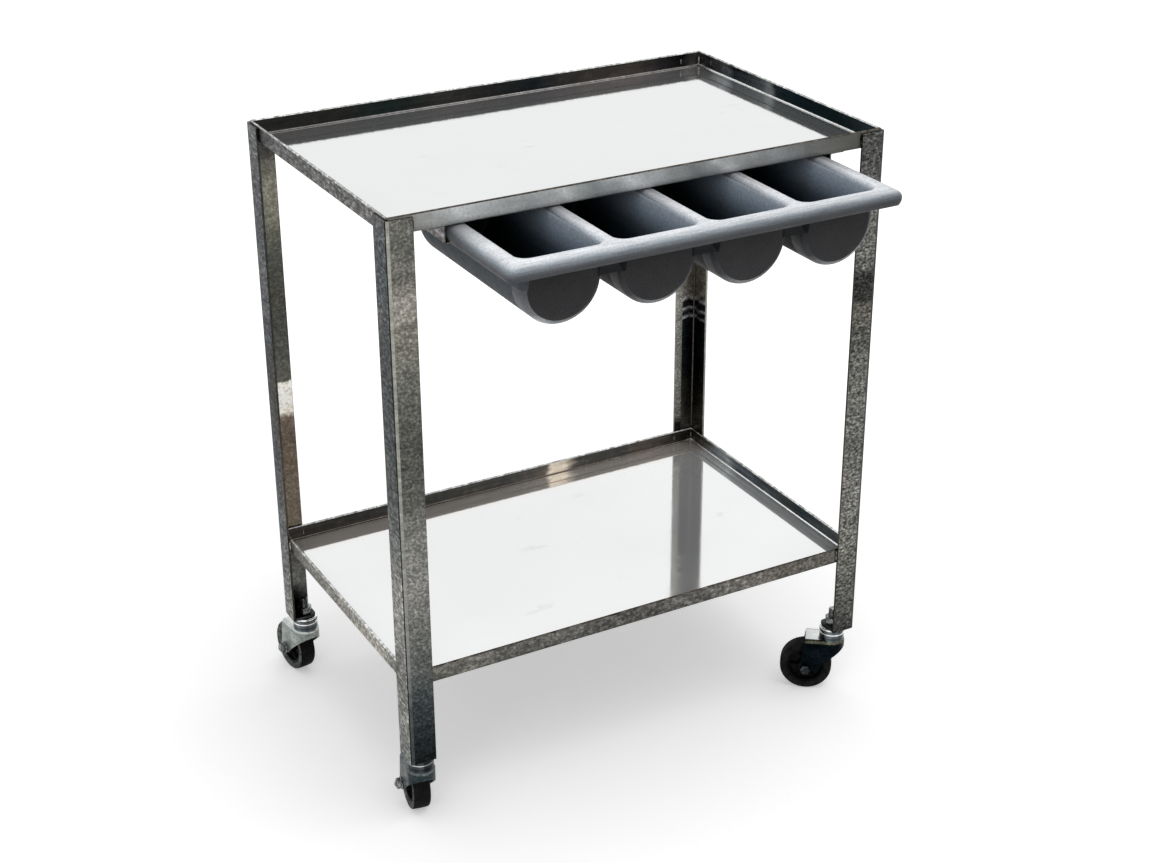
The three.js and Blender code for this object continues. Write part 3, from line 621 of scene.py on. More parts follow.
def lip_finish():
    """The lip and the deck, in painted light and shade: pale on top, darker down the nose, more so to
    the right, and darker rearwards as the tray's painted shadow.
    """
    made = Finish("bin_lip_plastic", Specular_IOR_Level=0.3)
    height = made.fit(made.axis(Z), (BIN_TOP - 20) * MM, BIN_TOP * MM)
    left = made.tones(height, [
        (0.25, 66, 68, 72), (0.4, 84, 87, 92), (0.66, 128, 136, 142), (0.78, 160, 168, 174),
        (0.9, 200, 204, 208), (1, 220, 222, 226),
    ])
    right = made.tones(height, [
        (0.25, 46, 48, 50), (0.4, 58, 61, 64), (0.66, 96, 102, 108), (0.78, 128, 134, 140),
        (0.9, 178, 182, 186), (1, 205, 208, 212),
    ])
    end = BIN_HALF[X] * MM
    tint = made.mix(made.fit(made.axis(X), middle[X] - end, middle[X] + end), left, right)
    streaks = made.clouds((26, 420, 420), 3, 0.65, (0.8, 1.2))
    pores = made.clouds(420, 2, 0.6, (0.86, 1.14))
    return leathery(made, tint, streaks, pores, tray_shadow(made, 0.32), depth=0.2)


def rubber(name, dark, dusty):
    """Black rubber with a soft dusting and a fine grain."""
    made = Finish(name, Specular_IOR_Level=0.1)
    tint = made.mix(made.clouds(120, 4, 0.65, low=0.4, high=0.72), shade(*dark), shade(*dusty))
    made.bump(made.noise(900, 3, 0.6), 0.35, 0.0003)
    return made.done(tint, made.clouds(70, to=(0.5, 0.72)))


def hub_finish():
    """Black moulded hub, its black deepened as painted shade for its recess, with a slight gloss and a
    cloudy dusting.
    """
    made = Finish("hub_plastic", Specular_IOR_Level=0.08)
    tint = made.mix(made.clouds(90, 3, 0.6, low=0.45, high=0.75), shade(1, 1, 2), shade(14, 15, 17))
    made.bump(made.noise(1200), 0.15, 0.0002)
    return made.done(tint, made.clouds(50, to=(0.34, 0.5)))


apron_upper = slanted_apron_finish()
upper_floor = tray_floor("upper_floor_steel", 0.915, (233, 234, 234), (236, 232, 234))
lower_floor = tray_floor("lower_floor_steel", 0.72, (254, 255, 255), (255, 247, 240))
# The rear left and front right heads take the stronger painted highlights.
head_steel = swivel_head_finish("swivel_head_zinc", 1)
head_strong_highlights = swivel_head_finish("swivel_head_strong_highlights_zinc", 2.2)
# Zinc finishes. Their tones are painted reflections: bright plates and bends as painted highlights, the dark
# forks as painted shade and the olive bend as a painted reflection, set castor by castor. The fasteners'
# bright tone is a painted highlight, and the front right axle screw's dark zinc is painted shade.
fork_plate = zinc("fork_plate_zinc", (204, 208, 206), (240, 242, 240))
fork_edge = zinc("fork_bend_zinc", (176, 182, 178), (232, 234, 232))
zinc_lit = zinc("fork_lit_zinc", (120, 130, 126), (228, 234, 226))
zinc_teal = zinc("fork_shaded_zinc", (34, 44, 50), (92, 106, 108))
zinc_deep_shade = zinc("fork_deep_shade_zinc", (4, 8, 12), (30, 42, 50))
fork_olive_reflection = zinc("fork_olive_reflection_zinc", (46, 48, 40), (150, 150, 124))
fork_dim = zinc("fork_dim_zinc", (60, 68, 70), (150, 156, 154))
bolt_steel = zinc("fastener_zinc", (64, 70, 72), (240, 243, 241), (0.16, 0.3))
shaded_bolt = zinc("shaded_fastener_zinc", (16, 20, 24), (120, 126, 126), (0.16, 0.3))
rivet_steel = zinc("dark_rivet_zinc", (5, 5, 6), (26, 26, 26))
weld_steel = weld_finish("weld_bead_steel", [
    (0, 70, 72, 76), (0.35, 118, 112, 98), (0.6, 150, 148, 142), (1, 198, 198, 194),
])
# The upper tray's beads are near black as painted shade, like the painted reflections on the walls round
# them.
dark_weld = weld_finish("dark_weld_steel", [
    (0, 14, 15, 16), (0.5, 26, 26, 26), (0.8, 40, 38, 34), (1, 74, 74, 72),
])
bin_lip = lip_finish()
bin_trough = trough_finish()
# The brim is a painted highlight at the top, falling into the troughs as painted shade and dimmed by the
# tray's painted shadow.
bin_brim = moulded("bin_brim_plastic", [
    (0.91, 158, 166, 176), (0.95, 168, 175, 184), (0.965, 180, 186, 193), (0.985, 196, 200, 206),
    (1, 212, 215, 219),
], shadow_least=0.4)
# The outside is near black as painted shade under the lip, and lighter on the two flanks as painted light.
bin_outer = moulded("bin_outer_plastic", [
    (0, 24, 25, 27), (0.4, 24, 26, 28), (0.8, 27, 29, 32), (1, 50, 55, 60),
], specular=0.04, lit_flanks=8)
# The trough ends are dark as painted shade, darkest at the top under the lip.
bin_end = moulded("bin_end_plastic", [
    (0, 50, 50, 51), (0.2, 46, 46, 48), (0.7, 34, 34, 36), (1, 30, 30, 32),
], specular=0.15)
# The fillets carry a painted highlight along their lowest edge, stronger on the two flanks.
bin_fillet = moulded("bin_fillet_plastic", [
    (0, 160, 162, 163), (0.08, 120, 122, 124), (0.22, 62, 63, 65), (0.5, 40, 41, 43), (1, 34, 35, 37),
], specular=0.15, lit_flanks=5)
tread_rubber = rubber("tread_rubber", (4, 4, 4), (20, 21, 19))
# The left wheels' sidewalls are light as painted light, the right wheels' dark as painted shade.
sidewall_lit = rubber("lit_sidewall_rubber", (62, 64, 64), (128, 130, 128))
sidewall_shaded = rubber("shaded_sidewall_rubber", (7, 7, 7), (36, 37, 34))
hub_plastic = hub_finish()


# Legs

LEG_FACES = ["y_outer", "x_outer", "bend", "crease", "edge", "y_inner", "x_inner", "inner_bend", "strip"]


def leg_surface(side):
    """An angle section, rounded at its bend and its edges, carried from the foot to the top.

    Each face has its own finish. y_outer faces the front or the back, and x_outer faces a side. Of
    the outer bend's eight steps, two belong to x_outer and the next two, the crease, carry a band of
    painted shade.
    """
    flange, sheet = LEG_FLANGE, LEG_SHEET
    strip = flange - 11.5
    section, kinds = rounded(
        [(0, 0), (flange, 0), (flange, sheet), (strip, sheet), (sheet, sheet), (sheet, flange), (0, flange)],
        [LEG_OUTER_BEND, 0.5, 0.5, 0, LEG_BEND, 0.5, 0.5], 8,
    )
    section = spread(side[X] * (LENGTH / 2 - section[:, X]), side[Y] * (DEPTH / 2 - section[:, Y]))
    names = ["bend", "y_outer", "edge", "edge", "edge", "strip", "strip", "y_inner", "inner_bend", "x_inner",
             "edge", "edge", "edge", "x_outer"]
    across = [names[kind] for kind in kinds]
    across[:8] = ["x_outer"] * 2 + ["crease"] * 2 + ["bend"] * 4
    return carried(section, LEG_FOOT, LEG_TOP, np.array([[LEG_FACES.index(name) for name in across]]))


def make_legs():
    """Each leg's finishes, in the order of LEG_FACES. The one farthest from the camera has its own painted
    shade on its inner faces; the left and right legs, and the front and rear ones, take differently
    painted reflections and light.
    """
    for name, corner in CORNERS.items():
        left, front = corner["side"][X] < 0, corner["side"][Y] < 0
        far = name == "rear_right"
        inner = leg_inner_shaded if far else leg_inner_warm
        finishes = [
            leg_front if left else leg_right_front, leg_side if front else leg_rear_side,
            leg_bend if left else leg_right_bend, leg_bend_shade, leg_bend if far else leg_edge,
            inner, inner, leg_inner_bend, leg_inner_strip if far else inner,
        ]
        make_piece(f"angle_leg_{name}", leg_surface(corner["side"]), finishes, "frame", "leg_steel",
                   [f"leg_{name}"])


# Trays

FLOOR, FOLD, WALL, HEM, APRON, UNDER = range(6)


def tray_surface(rim):
    """The tray's folded section, with a rolled hem, runs round its floor as a rounded rectangle.

    Rows follow the section from the flat floor up the inner wall, over the hem, down the outer wall
    and in under the floor. Each row is the rectangle drawn in by the section's distance from the edge.
    The narrow rows beside the two flat faces keep these flat in the shading.
    """
    roll, hem_foot = HEM_WIDTH / 2, TRAY_WALL - HEM_DROP
    flat = TRAY_BEND + 3

    def bend(radius, angles, kinds):
        return [(TRAY_BEND - radius * math.sin(a), TRAY_BEND - radius * math.cos(a), kind)
                for a, kind in zip(angles, kinds)]

    rows = [(flat, TRAY_SHEET, FLOOR), *bend(TRAY_BEND - TRAY_SHEET, quarter(7), [FOLD] * 6 + [WALL])]
    rows += [(TRAY_SHEET, hem_foot, WALL), (HEM_WIDTH - 0.3, hem_foot, WALL),
             (HEM_WIDTH, hem_foot + 0.3, WALL)]
    rows += [(roll + roll * math.cos(a), TRAY_WALL - roll + roll * math.sin(a), kind)
             for a, kind in zip(np.linspace(0, np.pi, 13), [HEM] * 12 + [APRON])]
    rows += [*bend(TRAY_BEND, quarter(7)[::-1], [APRON] * 6 + [UNDER]), (flat, 0, UNDER)]
    rings = np.array([
        rectangle_ring(TRAY_HALF[X] - inset, TRAY_HALF[Y] - inset, max(TRAY_CORNER - inset, 0.25), 5)
        for inset, _, _ in rows
    ])
    heights = np.array([z for _, z, _ in rows])[:, None] + rim - TRAY_WALL
    points = spread(rings[..., X], rings[..., Y], heights)
    kind = np.array([k for _, _, k in rows])[:-1, None]
    x, y = (rings[0] + np.roll(rings[0], -1, 0)).T / 2
    on_x = (np.abs(x) / TRAY_HALF[X] > np.abs(y) / TRAY_HALF[Y])[None]
    front = ~on_x & (y <= 0)
    slot = np.select(
        [kind == FLOOR, kind == FOLD, kind == HEM, (kind == WALL) & ~on_x, kind == WALL,
         (kind == APRON) & front, kind == APRON],
        [0, 1, 2, 3, 4, 5, 6], 7,
    )
    return Surface().grid(points, close_columns=True, slot=slot).cap(points[0], 0).cap(points[-1], 7)


def make_trays():
    """Both trays, each with its finishes in the order of the slots of its surface.

    They are those of the floor, the fold, the hem, the front and back walls, the side walls, the
    front apron, the other aprons and the underside.
    """
    for name, rim, finishes in (
        ("upper", UPPER_RIM, [upper_floor, upper_fold, hem_steel, wall_upper_back, wall_upper_right,
                              apron_upper, apron_side, underside]),
        ("lower", LOWER_RIM, [lower_floor, lower_fold, hem_steel, wall_lower_back, wall_lower_right,
                              apron_lower, apron_low_side, underside]),
    ):
        make_piece(f"folded_tray_{name}", tray_surface(rim), finishes, "frame", "tray_steel",
                   [f"{name}_tray"])


def weld_bead(start, end, radius, ripples):
    """A half-sunk bead along a short line: a tube whose radius swells once for each ripple."""
    start, end = np.array(start, float), np.array(end, float)
    along = (end - start) / np.linalg.norm(end - start)
    side = np.cross(along, (0.3, 0.5, 0.81))
    side /= np.linalg.norm(side)
    other = np.cross(along, side)
    t = np.linspace(0, 1, 8 * ripples + 1)[:, None]
    ends = np.sin(np.pi * np.clip(t * 1.04 - 0.02, 0, 1)) ** 0.3
    swell = radius * ends * (1 + 0.16 * np.cos(2 * np.pi * ripples * t))
    ring = (swell * np.cos(circle(14)))[..., None] * side + (swell * np.sin(circle(14)))[..., None] * other
    points = (start + (end - start) * t)[:, None] + ring
    return Surface().grid(points, close_columns=True).cap(points[0]).cap(points[-1])


def make_welds():
    """Short beads where the legs' free edges cross each tray, and inside the trays' corners.

    In the upper tray's rear right corner the bead is a thick lump.
    """
    edge_x, edge_y = LENGTH / 2 - LEG_FLANGE - 0.2, DEPTH / 2 - LEG_FLANGE - 0.2
    on_x, on_y = LENGTH / 2 - LEG_SHEET - 0.2, DEPTH / 2 - LEG_SHEET - 0.2
    for tray, rim in (("upper", UPPER_RIM), ("lower", LOWER_RIM)):
        for name, corner in CORNERS.items():
            lump = (tray, name) == ("upper", "rear_right")
            thick = 2.6 if lump else 1.1
            foot, top = rim - TRAY_WALL + 3, rim - (5 if tray == "upper" else 3)
            beads = Surface()
            for place, low, high, radius, ripples in (
                ((edge_x, on_y), foot, top, 1.5, 7),
                ((on_x, edge_y), foot, top, 1.5, 7),
                (TRAY_HALF - TRAY_SHEET - thick + 0.9, rim - TRAY_WALL + 2.4, rim - 8, thick, 6),
            ):
                x, y = corner["side"] * np.array(place)
                beads.join(weld_bead((x, y, low), (x, y, high), radius, ripples))
            bead_steel = dark_weld if tray == "upper" and not lump else weld_steel
            make_piece(f"weld_{tray}_{name}", beads, [bead_steel], "frame", "tray_steel", crease=60)


def make_rivets():
    """Two small domed rivets near the top of the front right leg."""
    dome = [(0, -0.2), (1.5, -0.2), *((1.5 * math.cos(a), 0.7 * math.sin(a)) for a in quarter(7))]
    for number, (x, z) in enumerate(((324.7, 812.8), (345.3, 812.1)), 1):
        rivet = lathe(dome, 24, close=False)
        rivet.moved(lambda p: spread(p[:, X] + x, -DEPTH / 2 - p[:, Z], p[:, Y] + z))
        make_piece(f"leg_rivet_{number}", rivet, [rivet_steel], "frame", "leg_steel", crease=60)


# Runners


def make_runners():
    """Z-shaped strips, rounded at their bends and edges, carried along the trolley's depth."""
    sheet, half_length = 1.5, (DEPTH - 2 * (LEG_SHEET + GAP + 5)) / 2
    top, foot = UPPER_RIM - TRAY_WALL - GAP, BIN_TOP - 20 - GAP
    web = BIN_HALF[X] + 1
    corners = [(web, foot), (web - 13.25, foot), (web - 13.25, foot - sheet), (web + sheet, foot - sheet),
               (web + sheet, top - sheet), (web + 20.75, top - sheet), (web + 20.75, top), (web, top)]
    section, _ = rounded(corners, [1, 0.4, 0.4, 2.5, 1, 0.4, 0.4, 2.5], 5)
    for name, side in (("left", -1), ("right", 1)):
        surface = carried(section * (side, 1), -half_length, half_length, along=Y)
        make_piece(f"slide_runner_{name}", surface, [apron_side], "frame", "tray_steel",
                   [f"bin_runner_{name}"])


# Cutlery bin

TROUGH_TOP, TROUGH_RADIUS, TROUGH_LENGTH = 52.5, 49, 140
TROUGH_BRIM, TROUGH_CORNER, TROUGH_FILLET, TROUGH_AXIS = 8, 12, 5, -41
TROUGH_DRAFT = math.tan(math.radians(3.5))
NOSE_DEPTH, NOSE_HEIGHT, LIP_HEIGHT, LIP_TUCK, LIP_CORNER, BIN_WALL = 16, 11, 20, 3, 10, 2.5
CORNER_STEPS, ACROSS, ALONG, BRIM_STEPS = 10, 8, 14, 8
RING_SIZE = 2 * ACROSS + 2 * ALONG + 4 * CORNER_STEPS
LIP, TROUGH, TROUGH_ROUND, TROUGH_FACE, BRIM = range(5)
INSIDES = [bin_lip, bin_trough, bin_trough, bin_trough, bin_brim]
OUTSIDES = [bin_lip, bin_outer, bin_fillet, bin_end, bin_lip]


def trough_rings():
    """Rings from the deck over the brim's quarter circle and down the leaning walls to the axis."""
    sizes = []
    for a in np.linspace(np.pi / 2, 0, BRIM_STEPS + 1):
        flare = TROUGH_BRIM * (1 - math.cos(a))
        sizes.append((TROUGH_TOP + flare, TROUGH_LENGTH + flare, TROUGH_CORNER + flare,
                      TROUGH_BRIM * (math.sin(a) - 1)))
    for t in np.linspace(0, 1, 7)[1:]:
        z = -TROUGH_BRIM + (TROUGH_AXIS + TROUGH_BRIM) * t
        sizes.append((TROUGH_TOP + (TROUGH_RADIUS - TROUGH_TOP) * t,
                      TROUGH_LENGTH + TROUGH_DRAFT * (z + TROUGH_BRIM),
                      TROUGH_CORNER + (TROUGH_FILLET - TROUGH_CORNER) * t, z))
    rings = [rectangle_ring(x, y, radius, CORNER_STEPS, ACROSS, ALONG) for x, y, radius, _ in sizes]
    return np.array([spread(ring[:, X], ring[:, Y], z) for ring, (*_, z) in zip(rings, sizes)])


def deck_edge(ring, low_x, high_x, half_y):
    """Where each point of a trough's brim lands on the rectangle of deck round it.

    A point on a straight goes straight out. A point on a corner's curve goes out along its radius,
    and the middle one of each curve goes to the rectangle's corner.
    """
    radius = TROUGH_CORNER + TROUGH_BRIM
    centre = np.array([TROUGH_TOP, TROUGH_LENGTH]) + TROUGH_BRIM - radius
    x, y = ring[:, X], ring[:, Y]
    sign = np.where(ring[:, :2] >= 0, 1, -1)
    limit = spread(np.where(x > 0, high_x, -low_x), half_y)
    out = np.abs(ring[:, :2]) - centre
    on_curve = (out > 1e-6).all(1)
    reach = ((limit - centre) / np.maximum(out, 1e-9)).min(1)
    landed = np.minimum(centre + out * reach[:, None], limit)
    tip = on_curve & (np.abs(out[:, X] - out[:, Y]) < 0.02 * radius)
    landed[tip] = limit[tip]
    for line, across in ((~on_curve & (out[:, X] > out[:, Y]), Y), (~on_curve & (out[:, X] <= out[:, Y]), X)):
        landed[line] = limit[line]
        landed[line, across] = np.abs(ring[line, across])
    return np.column_stack([landed * sign, np.zeros(len(x))])


def trough_bottom(ring):
    """The lower half is the right half of its top ring turned half round the trough's own axis.

    The end walls lean in with depth, in proportion to their distance from the middle.
    """
    radius, length = ring[:RING_SIZE // 2 + 1, :2].T[:, None]
    angle = np.linspace(0, np.pi, 33)[:, None]
    depth = radius * np.sin(angle)
    lean = 1 - TROUGH_DRAFT * depth / TROUGH_LENGTH
    return spread(radius * np.cos(angle), length * lean, TROUGH_AXIS - depth)


def lip_points(xs, ys):
    """The lip's profile is swept round the deck, from its edge over the nose and down to its foot.

    The profile is a quarter of an ellipse and then a slight curve inwards. Along the deck's edge it
    goes straight out. Round a corner its points turn about the corner, as far as the corner's radius
    still allows.
    """
    half_x, half_y = BIN_HALF[X] - NOSE_DEPTH, BIN_HALF[Y] - NOSE_DEPTH
    fan = quarter(9)[1:-1]
    rim, corners = [], []
    for start, line, fixed, axis in (
        (-np.pi / 2, xs, -half_y, X), (0, ys, half_x, Y), (np.pi / 2, xs[::-1], half_y, X),
        (np.pi, ys[::-1], -half_x, Y),
    ):
        place = np.full((len(line), 2), float(fixed))
        place[:, axis] = line
        turn = start + fan
        rim.append(spread(*place.T, math.cos(start), math.sin(start)))
        rim.append(spread(*place[-1], np.cos(turn), np.sin(turn)))
        corners += [True, *[False] * (len(line) - 2), True, *[True] * len(turn)]
    rim, corners = np.concatenate(rim), np.array(corners)[:, None]
    profile = [(NOSE_DEPTH * (1 - math.sin(a)), NOSE_HEIGHT * (math.cos(a) - 1)) for a in quarter(13)]
    profile += [(LIP_TUCK * t ** 2, -NOSE_HEIGHT - (LIP_HEIGHT - NOSE_HEIGHT) * t)
                for t in np.linspace(0, 1, 6)[1:]]
    inset, height = np.array(profile).T[:, :, None]
    inset = inset[..., None]
    edge, outwards = rim[:, :2], rim[:, 2:]
    square = np.sign(edge) * (NOSE_DEPTH - np.maximum(inset, LIP_CORNER))
    curved = square + outwards * np.maximum(LIP_CORNER - inset, 0)
    place = edge + np.where(corners, curved, outwards * (NOSE_DEPTH - inset))
    return spread(place[..., X], place[..., Y], height)


def bin_surface():
    """The bin's upper skin: four troughs, the deck round each, and the lip swept round them all."""
    surface = Surface()
    rings = trough_rings()
    half_x, half_y = BIN_HALF[X] - NOSE_DEPTH, BIN_HALF[Y] - NOSE_DEPTH
    reach = np.abs(rings[-1][:RING_SIZE // 2, Y])
    face = reach > TROUGH_LENGTH + TROUGH_DRAFT * (TROUGH_AXIS + TROUGH_BRIM) - 0.01
    fillet = reach > reach.max() - TROUGH_FILLET - 0.01
    bottom_slots = np.where(face, TROUGH_FACE, np.where(fillet, TROUGH_ROUND, TROUGH))
    reach = np.abs(rings[:-1, :, Y])
    at_end = reach > reach.max(1)[:, None] - 0.01
    in_brim = np.arange(len(rings) - 1)[:, None] < BRIM_STEPS - 2
    side_slots = np.where(in_brim, BRIM, np.where(at_end, TROUGH_FACE, TROUGH))
    xs, ys = set(), set()
    for k in range(4):
        x = (k - 1.5) * TROUGH_PITCH
        low = -half_x - x if k == 0 else -TROUGH_PITCH / 2
        high = half_x - x if k == 3 else TROUGH_PITCH / 2
        edge = deck_edge(rings[0], low, high, half_y)
        surface.grid(np.stack([edge, rings[0]]) + (x, 0, 0), close_columns=True, slot=LIP)
        surface.grid(rings + (x, 0, 0), close_columns=True, slot=side_slots)
        surface.grid(trough_bottom(rings[-1]) + (x, 0, 0), slot=bottom_slots)
        xs.update(np.round(edge[np.abs(edge[:, Y]) > half_y - 0.01, X] + x, 4))
        if k == 0:
            ys.update(np.round(edge[edge[:, X] < low + 0.01, Y], 4))
    surface.grid(lip_points(np.array(sorted(xs)), np.array(sorted(ys))), close_columns=True, slot=LIP)
    return surface.moved(lambda p: p + (0, BIN_Y, BIN_TOP))


def web_surface(x, side):
    """A panel between two troughs, under the lip, whose lower edge rolls outwards."""
    t = np.linspace(0, 1, 9)
    height = np.concatenate([[-16, -22, -28], -30 - 10 * t])[:, None]
    out = np.concatenate([[0, 0, 0], 4 * t ** 1.6])[:, None]
    face = TROUGH_LENGTH - TROUGH_DRAFT * 30 - 1.5
    near = spread(np.linspace(-15.5, 15.5, 7), face + out, height)
    back = near - (0, BIN_WALL, 0)
    slot = np.where(np.arange(len(height) - 1) < 3, 0, 1)[:, None]
    surface = Surface().grid(near, slot=slot).grid(back[:, ::-1], slot=slot)
    for index, edge_slot in ((0, 0), (-1, 1)):
        surface.grid(np.stack([near[index], back[index]]), slot=edge_slot)
    for index in (0, -1):
        surface.grid(np.stack([near[:, index], back[:, index]]))
    return surface.moved(lambda p: p * (1, side, 1) + (x, BIN_Y, BIN_TOP))


def make_bin():
    """The bin's skin is given its wall downwards. Its insides' finishes turn into its outsides'."""
    make_piece("moulded_cutlery_bin", bin_surface(), INSIDES + OUTSIDES, "bin", "bin_plastic",
               ["cutlery_bin"], crease=50, sheet={"wall": BIN_WALL, "offset": -1, "under": len(INSIDES)})
    # The webs take the end faces' painted shade, and the fillet's painted highlight along their rolled lower
    # edge.
    for k in range(3):
        for label, side in (("front", -1), ("back", 1)):
            web = web_surface((k - 1) * TROUGH_PITCH, side)
            make_piece(f"bin_web_{label}_{k + 1}", web, [bin_end, bin_fillet], "bin", "bin_plastic",
                       crease=60)


# Castors

FORK_HALF, FORK_TOP, FORK_BEND, FORK_SHEET = 17.75, -20.25, 3.75, 2.5
FORK_FRONT_DROP, FORK_BACK, FORK_END, CROWN_BORE = 31, 34, 9, 13.4
# Each castor's fork finishes, for the plate, the bend and the walls: painted reflections, highlights and
# shade set for that castor.
FORK_FINISHES = {
    "front_left": [zinc_teal, fork_dim, zinc_teal],
    "front_right": [fork_plate, fork_olive_reflection, zinc_deep_shade],
    "rear_left": [fork_plate, fork_edge, zinc_lit],
    "rear_right": [fork_plate, fork_edge, zinc_teal],
}


def nut_surface(flat, height, bore, lift):
    """A nut: at each height its outside's radius is the smaller of the hexagon's and a cone's."""
    angle = circle(72)
    hexagon = flat / np.cos((angle % (np.pi / 3)) - np.pi / 6)
    corner = flat / math.cos(np.pi / 6)
    chamfer = (corner - flat) * 0.62
    t = np.linspace(0, 1, 5)
    heights = np.concatenate([chamfer * t, height - chamfer * t[::-1]])[:, None]
    cone = flat * 0.97 + (corner - flat * 0.97) * t
    radius = np.minimum(hexagon, np.concatenate([cone, cone[::-1]])[:, None])
    outside = polar(radius, angle, heights + lift)
    rows = np.array([polar(bore, angle, lift), *outside, polar(bore, angle, height + lift)])
    return Surface().grid(rows, close_rows=True, close_columns=True)


def threaded_rod(radius, pitch, low, high):
    """A rod whose radius drops and rises once a pitch along its helix, and tapers at its end."""
    z = np.linspace(low, high, int((high - low) / pitch * 10) + 1)[:, None]
    angle = circle(32)
    phase = (z / pitch - angle / (2 * np.pi)) % 1
    groove = np.clip(1.25 * (1 - np.abs(2 * phase - 1)) - 0.12, 0, 1)
    taper = np.clip(z - (high - 1.4), 0, None)
    points = polar(np.minimum(radius - 0.61 * pitch * groove, radius - taper), angle, z)
    return Surface().grid(points, close_columns=True).cap(points[0]).cap(points[-1])


def fork_point(along, inset, height):
    """A point of the fork's shell: half round in front, then straight back on both sides.

    along is the length round the outline from the middle of its front, negative on one side, and
    inset is how far the point is drawn in from the wall.
    """
    round_end = np.pi / 2 * FORK_HALF
    side, length = np.sign(along), np.abs(along)
    angle = np.minimum(length, round_end) / FORK_HALF
    radius = FORK_HALF - inset
    x = -radius * np.cos(angle) + np.maximum(length - round_end, 0)
    return spread(x, side * radius * np.sin(angle), height)


def fork_sheet():
    """The middle of the fork's sheet: a plate with a round hole, a bend, and a wall.

    The wall's lower edge falls in a straight line from the front to the rounded ends at the axle, and
    its back edge leans out. Each row of the wall is a height, shared evenly between the two edges.
    """
    round_end, front_x = np.pi / 2 * FORK_HALF, FORK_HALF + FORK_SHEET / 2
    slope = math.atan2(AXLE_DROP - FORK_FRONT_DROP, TRAIL + front_x)
    touch = -AXLE_DROP - FORK_END * math.cos(slope)
    grade = (TRAIL - FORK_END * math.sin(slope) + front_x) / (-FORK_FRONT_DROP - touch)
    lean = (TRAIL + FORK_END - FORK_BACK) / AXLE_DROP
    start = -FORK_FRONT_DROP - FORK_SHEET / 2 / grade
    height = np.concatenate([
        np.linspace(FORK_TOP - FORK_BEND, start, 6),
        start + (-AXLE_DROP - start) * np.linspace(0, 1, 18)[1:] ** 1.6,
        -AXLE_DROP - FORK_END * np.sin(quarter(12)[1:]),
    ])
    below = np.sqrt(np.maximum(FORK_END ** 2 - (height + AXLE_DROP) ** 2, 0))
    front = np.where(height > touch, -front_x + (-FORK_FRONT_DROP - height) * grade, TRAIL - below)
    on_round = FORK_HALF * np.arccos(np.clip(-front / FORK_HALF, -1, 1))
    first = np.where(front < 0, on_round, round_end + front)
    first = np.where(height >= start - 1e-6, 0, first)
    back = np.where(height > -AXLE_DROP, FORK_BACK - lean * height, TRAIL + below)
    share = np.linspace(0, 1, 30)
    along = first[:, None] * (1 - share) + (round_end + back)[:, None] * share
    surface = Surface()
    for side in (1, -1):
        surface.grid(fork_point(side * np.maximum(along, 1e-6), 0, height[:, None]), slot=2)
    top_end = round_end + FORK_BACK - lean * FORK_TOP
    straight = np.linspace(round_end, top_end, 9)[1:]
    outline = np.concatenate([-straight[::-1], np.linspace(-round_end, round_end, 41), straight])
    over = quarter(8)[:, None]
    inset, height = FORK_BEND * (1 - np.sin(over)), FORK_TOP - FORK_BEND * (1 - np.cos(over))
    surface.grid(fork_point(outline, inset, height), slot=1)
    rim = fork_point(outline, FORK_BEND, FORK_TOP)
    t = np.linspace(0, 1, 9)[1:-1, None]
    rim = np.concatenate([rim, rim[-1] * (1 - t) + rim[0] * t])
    hole = rim * (1, 1, 0)
    hole = hole / np.linalg.norm(hole, axis=1)[:, None] * CROWN_BORE + (0, 0, FORK_TOP)
    return surface.grid(np.stack([rim, hole]), close_columns=True, slot=0)


def crown_surface():
    """The crown raised on the fork's top: a plain cup whose rim is a little proud."""
    corners = [(6.6, -8), (18, -8), (18, -9.8), (17.6, -10.6), (17.6, -21.4), (15.4, -21.4), (15.4, -10.6),
               (6.6, -10.6)]
    return turned(corners, [0, 1.2, 0.5, 0.4, 0.3, 0.3, 1.2, 0], 5, 72)


def cap_surface():
    """The upper race: a dished cap with a rolled skirt."""
    corners = [(6.3, -0.3), (11.4, -1.1), (14.4, -0.3), (18, -0.3), (18, -7), (16, -7), (16, -2.3),
               (6.3, -2.3)]
    return turned(corners, [0, 1.2, 1, 3, 0.8, 0.6, 2, 0], 6, 72)


def tyre_surface():
    """A ring with a slightly crowned tread, round shoulders and a step inside each shoulder."""
    side = [(27.8, 10.3), (30.2, 11.6), (33.2, 12.1), (34.2, 12.5), (36.9, 11.6), (37.3, 8), (37.5, 0)]
    corners = side + [(r, -w) for r, w in side[-2::-1]]
    radii = [0, 1, 0.4, 0.9, 2.2, 2, 0]
    profile = rounded(corners, radii + radii[-2::-1], 4)[0]
    tread = (profile[:, 0] > 36.2) & (np.roll(profile[:, 0], -1) > 36.2)
    return lathe(profile, 128, slot=np.where(tread, 1, 0)[:, None])


def hub_surface():
    """A wheel centre turned about its axle, with ribs across its recess on both sides.

    The recess's depth rises to the rib's height where the angle is near one of the ribs.
    """
    radii = np.array([6.5, 7, 10.2, 11, 11.4, 12.6, 15, 19, 23, 23.9, 24.4, 25.2, 26.9, 27.5])[:, None]
    low = np.array([15.2, 15.5, 15.5, 15, 9, 6, 4.8, 4.5, 4.5, 5.4, 9.6, 10.4, 10.4, 10])[:, None]
    angle = circle(180)
    rib = np.clip((np.cos(6 * angle) - 0.93) / 0.04, 0, 1)
    in_recess = (radii > 11.2) & (radii < 24.2)
    height = np.where(in_recess, np.maximum(low, low + (9.2 - 0.06 * radii - low) * rib), low)
    one = polar(radii, angle, height)
    return Surface().grid(np.concatenate([one, one[::-1] * (1, 1, -1)]), close_rows=True, close_columns=True)


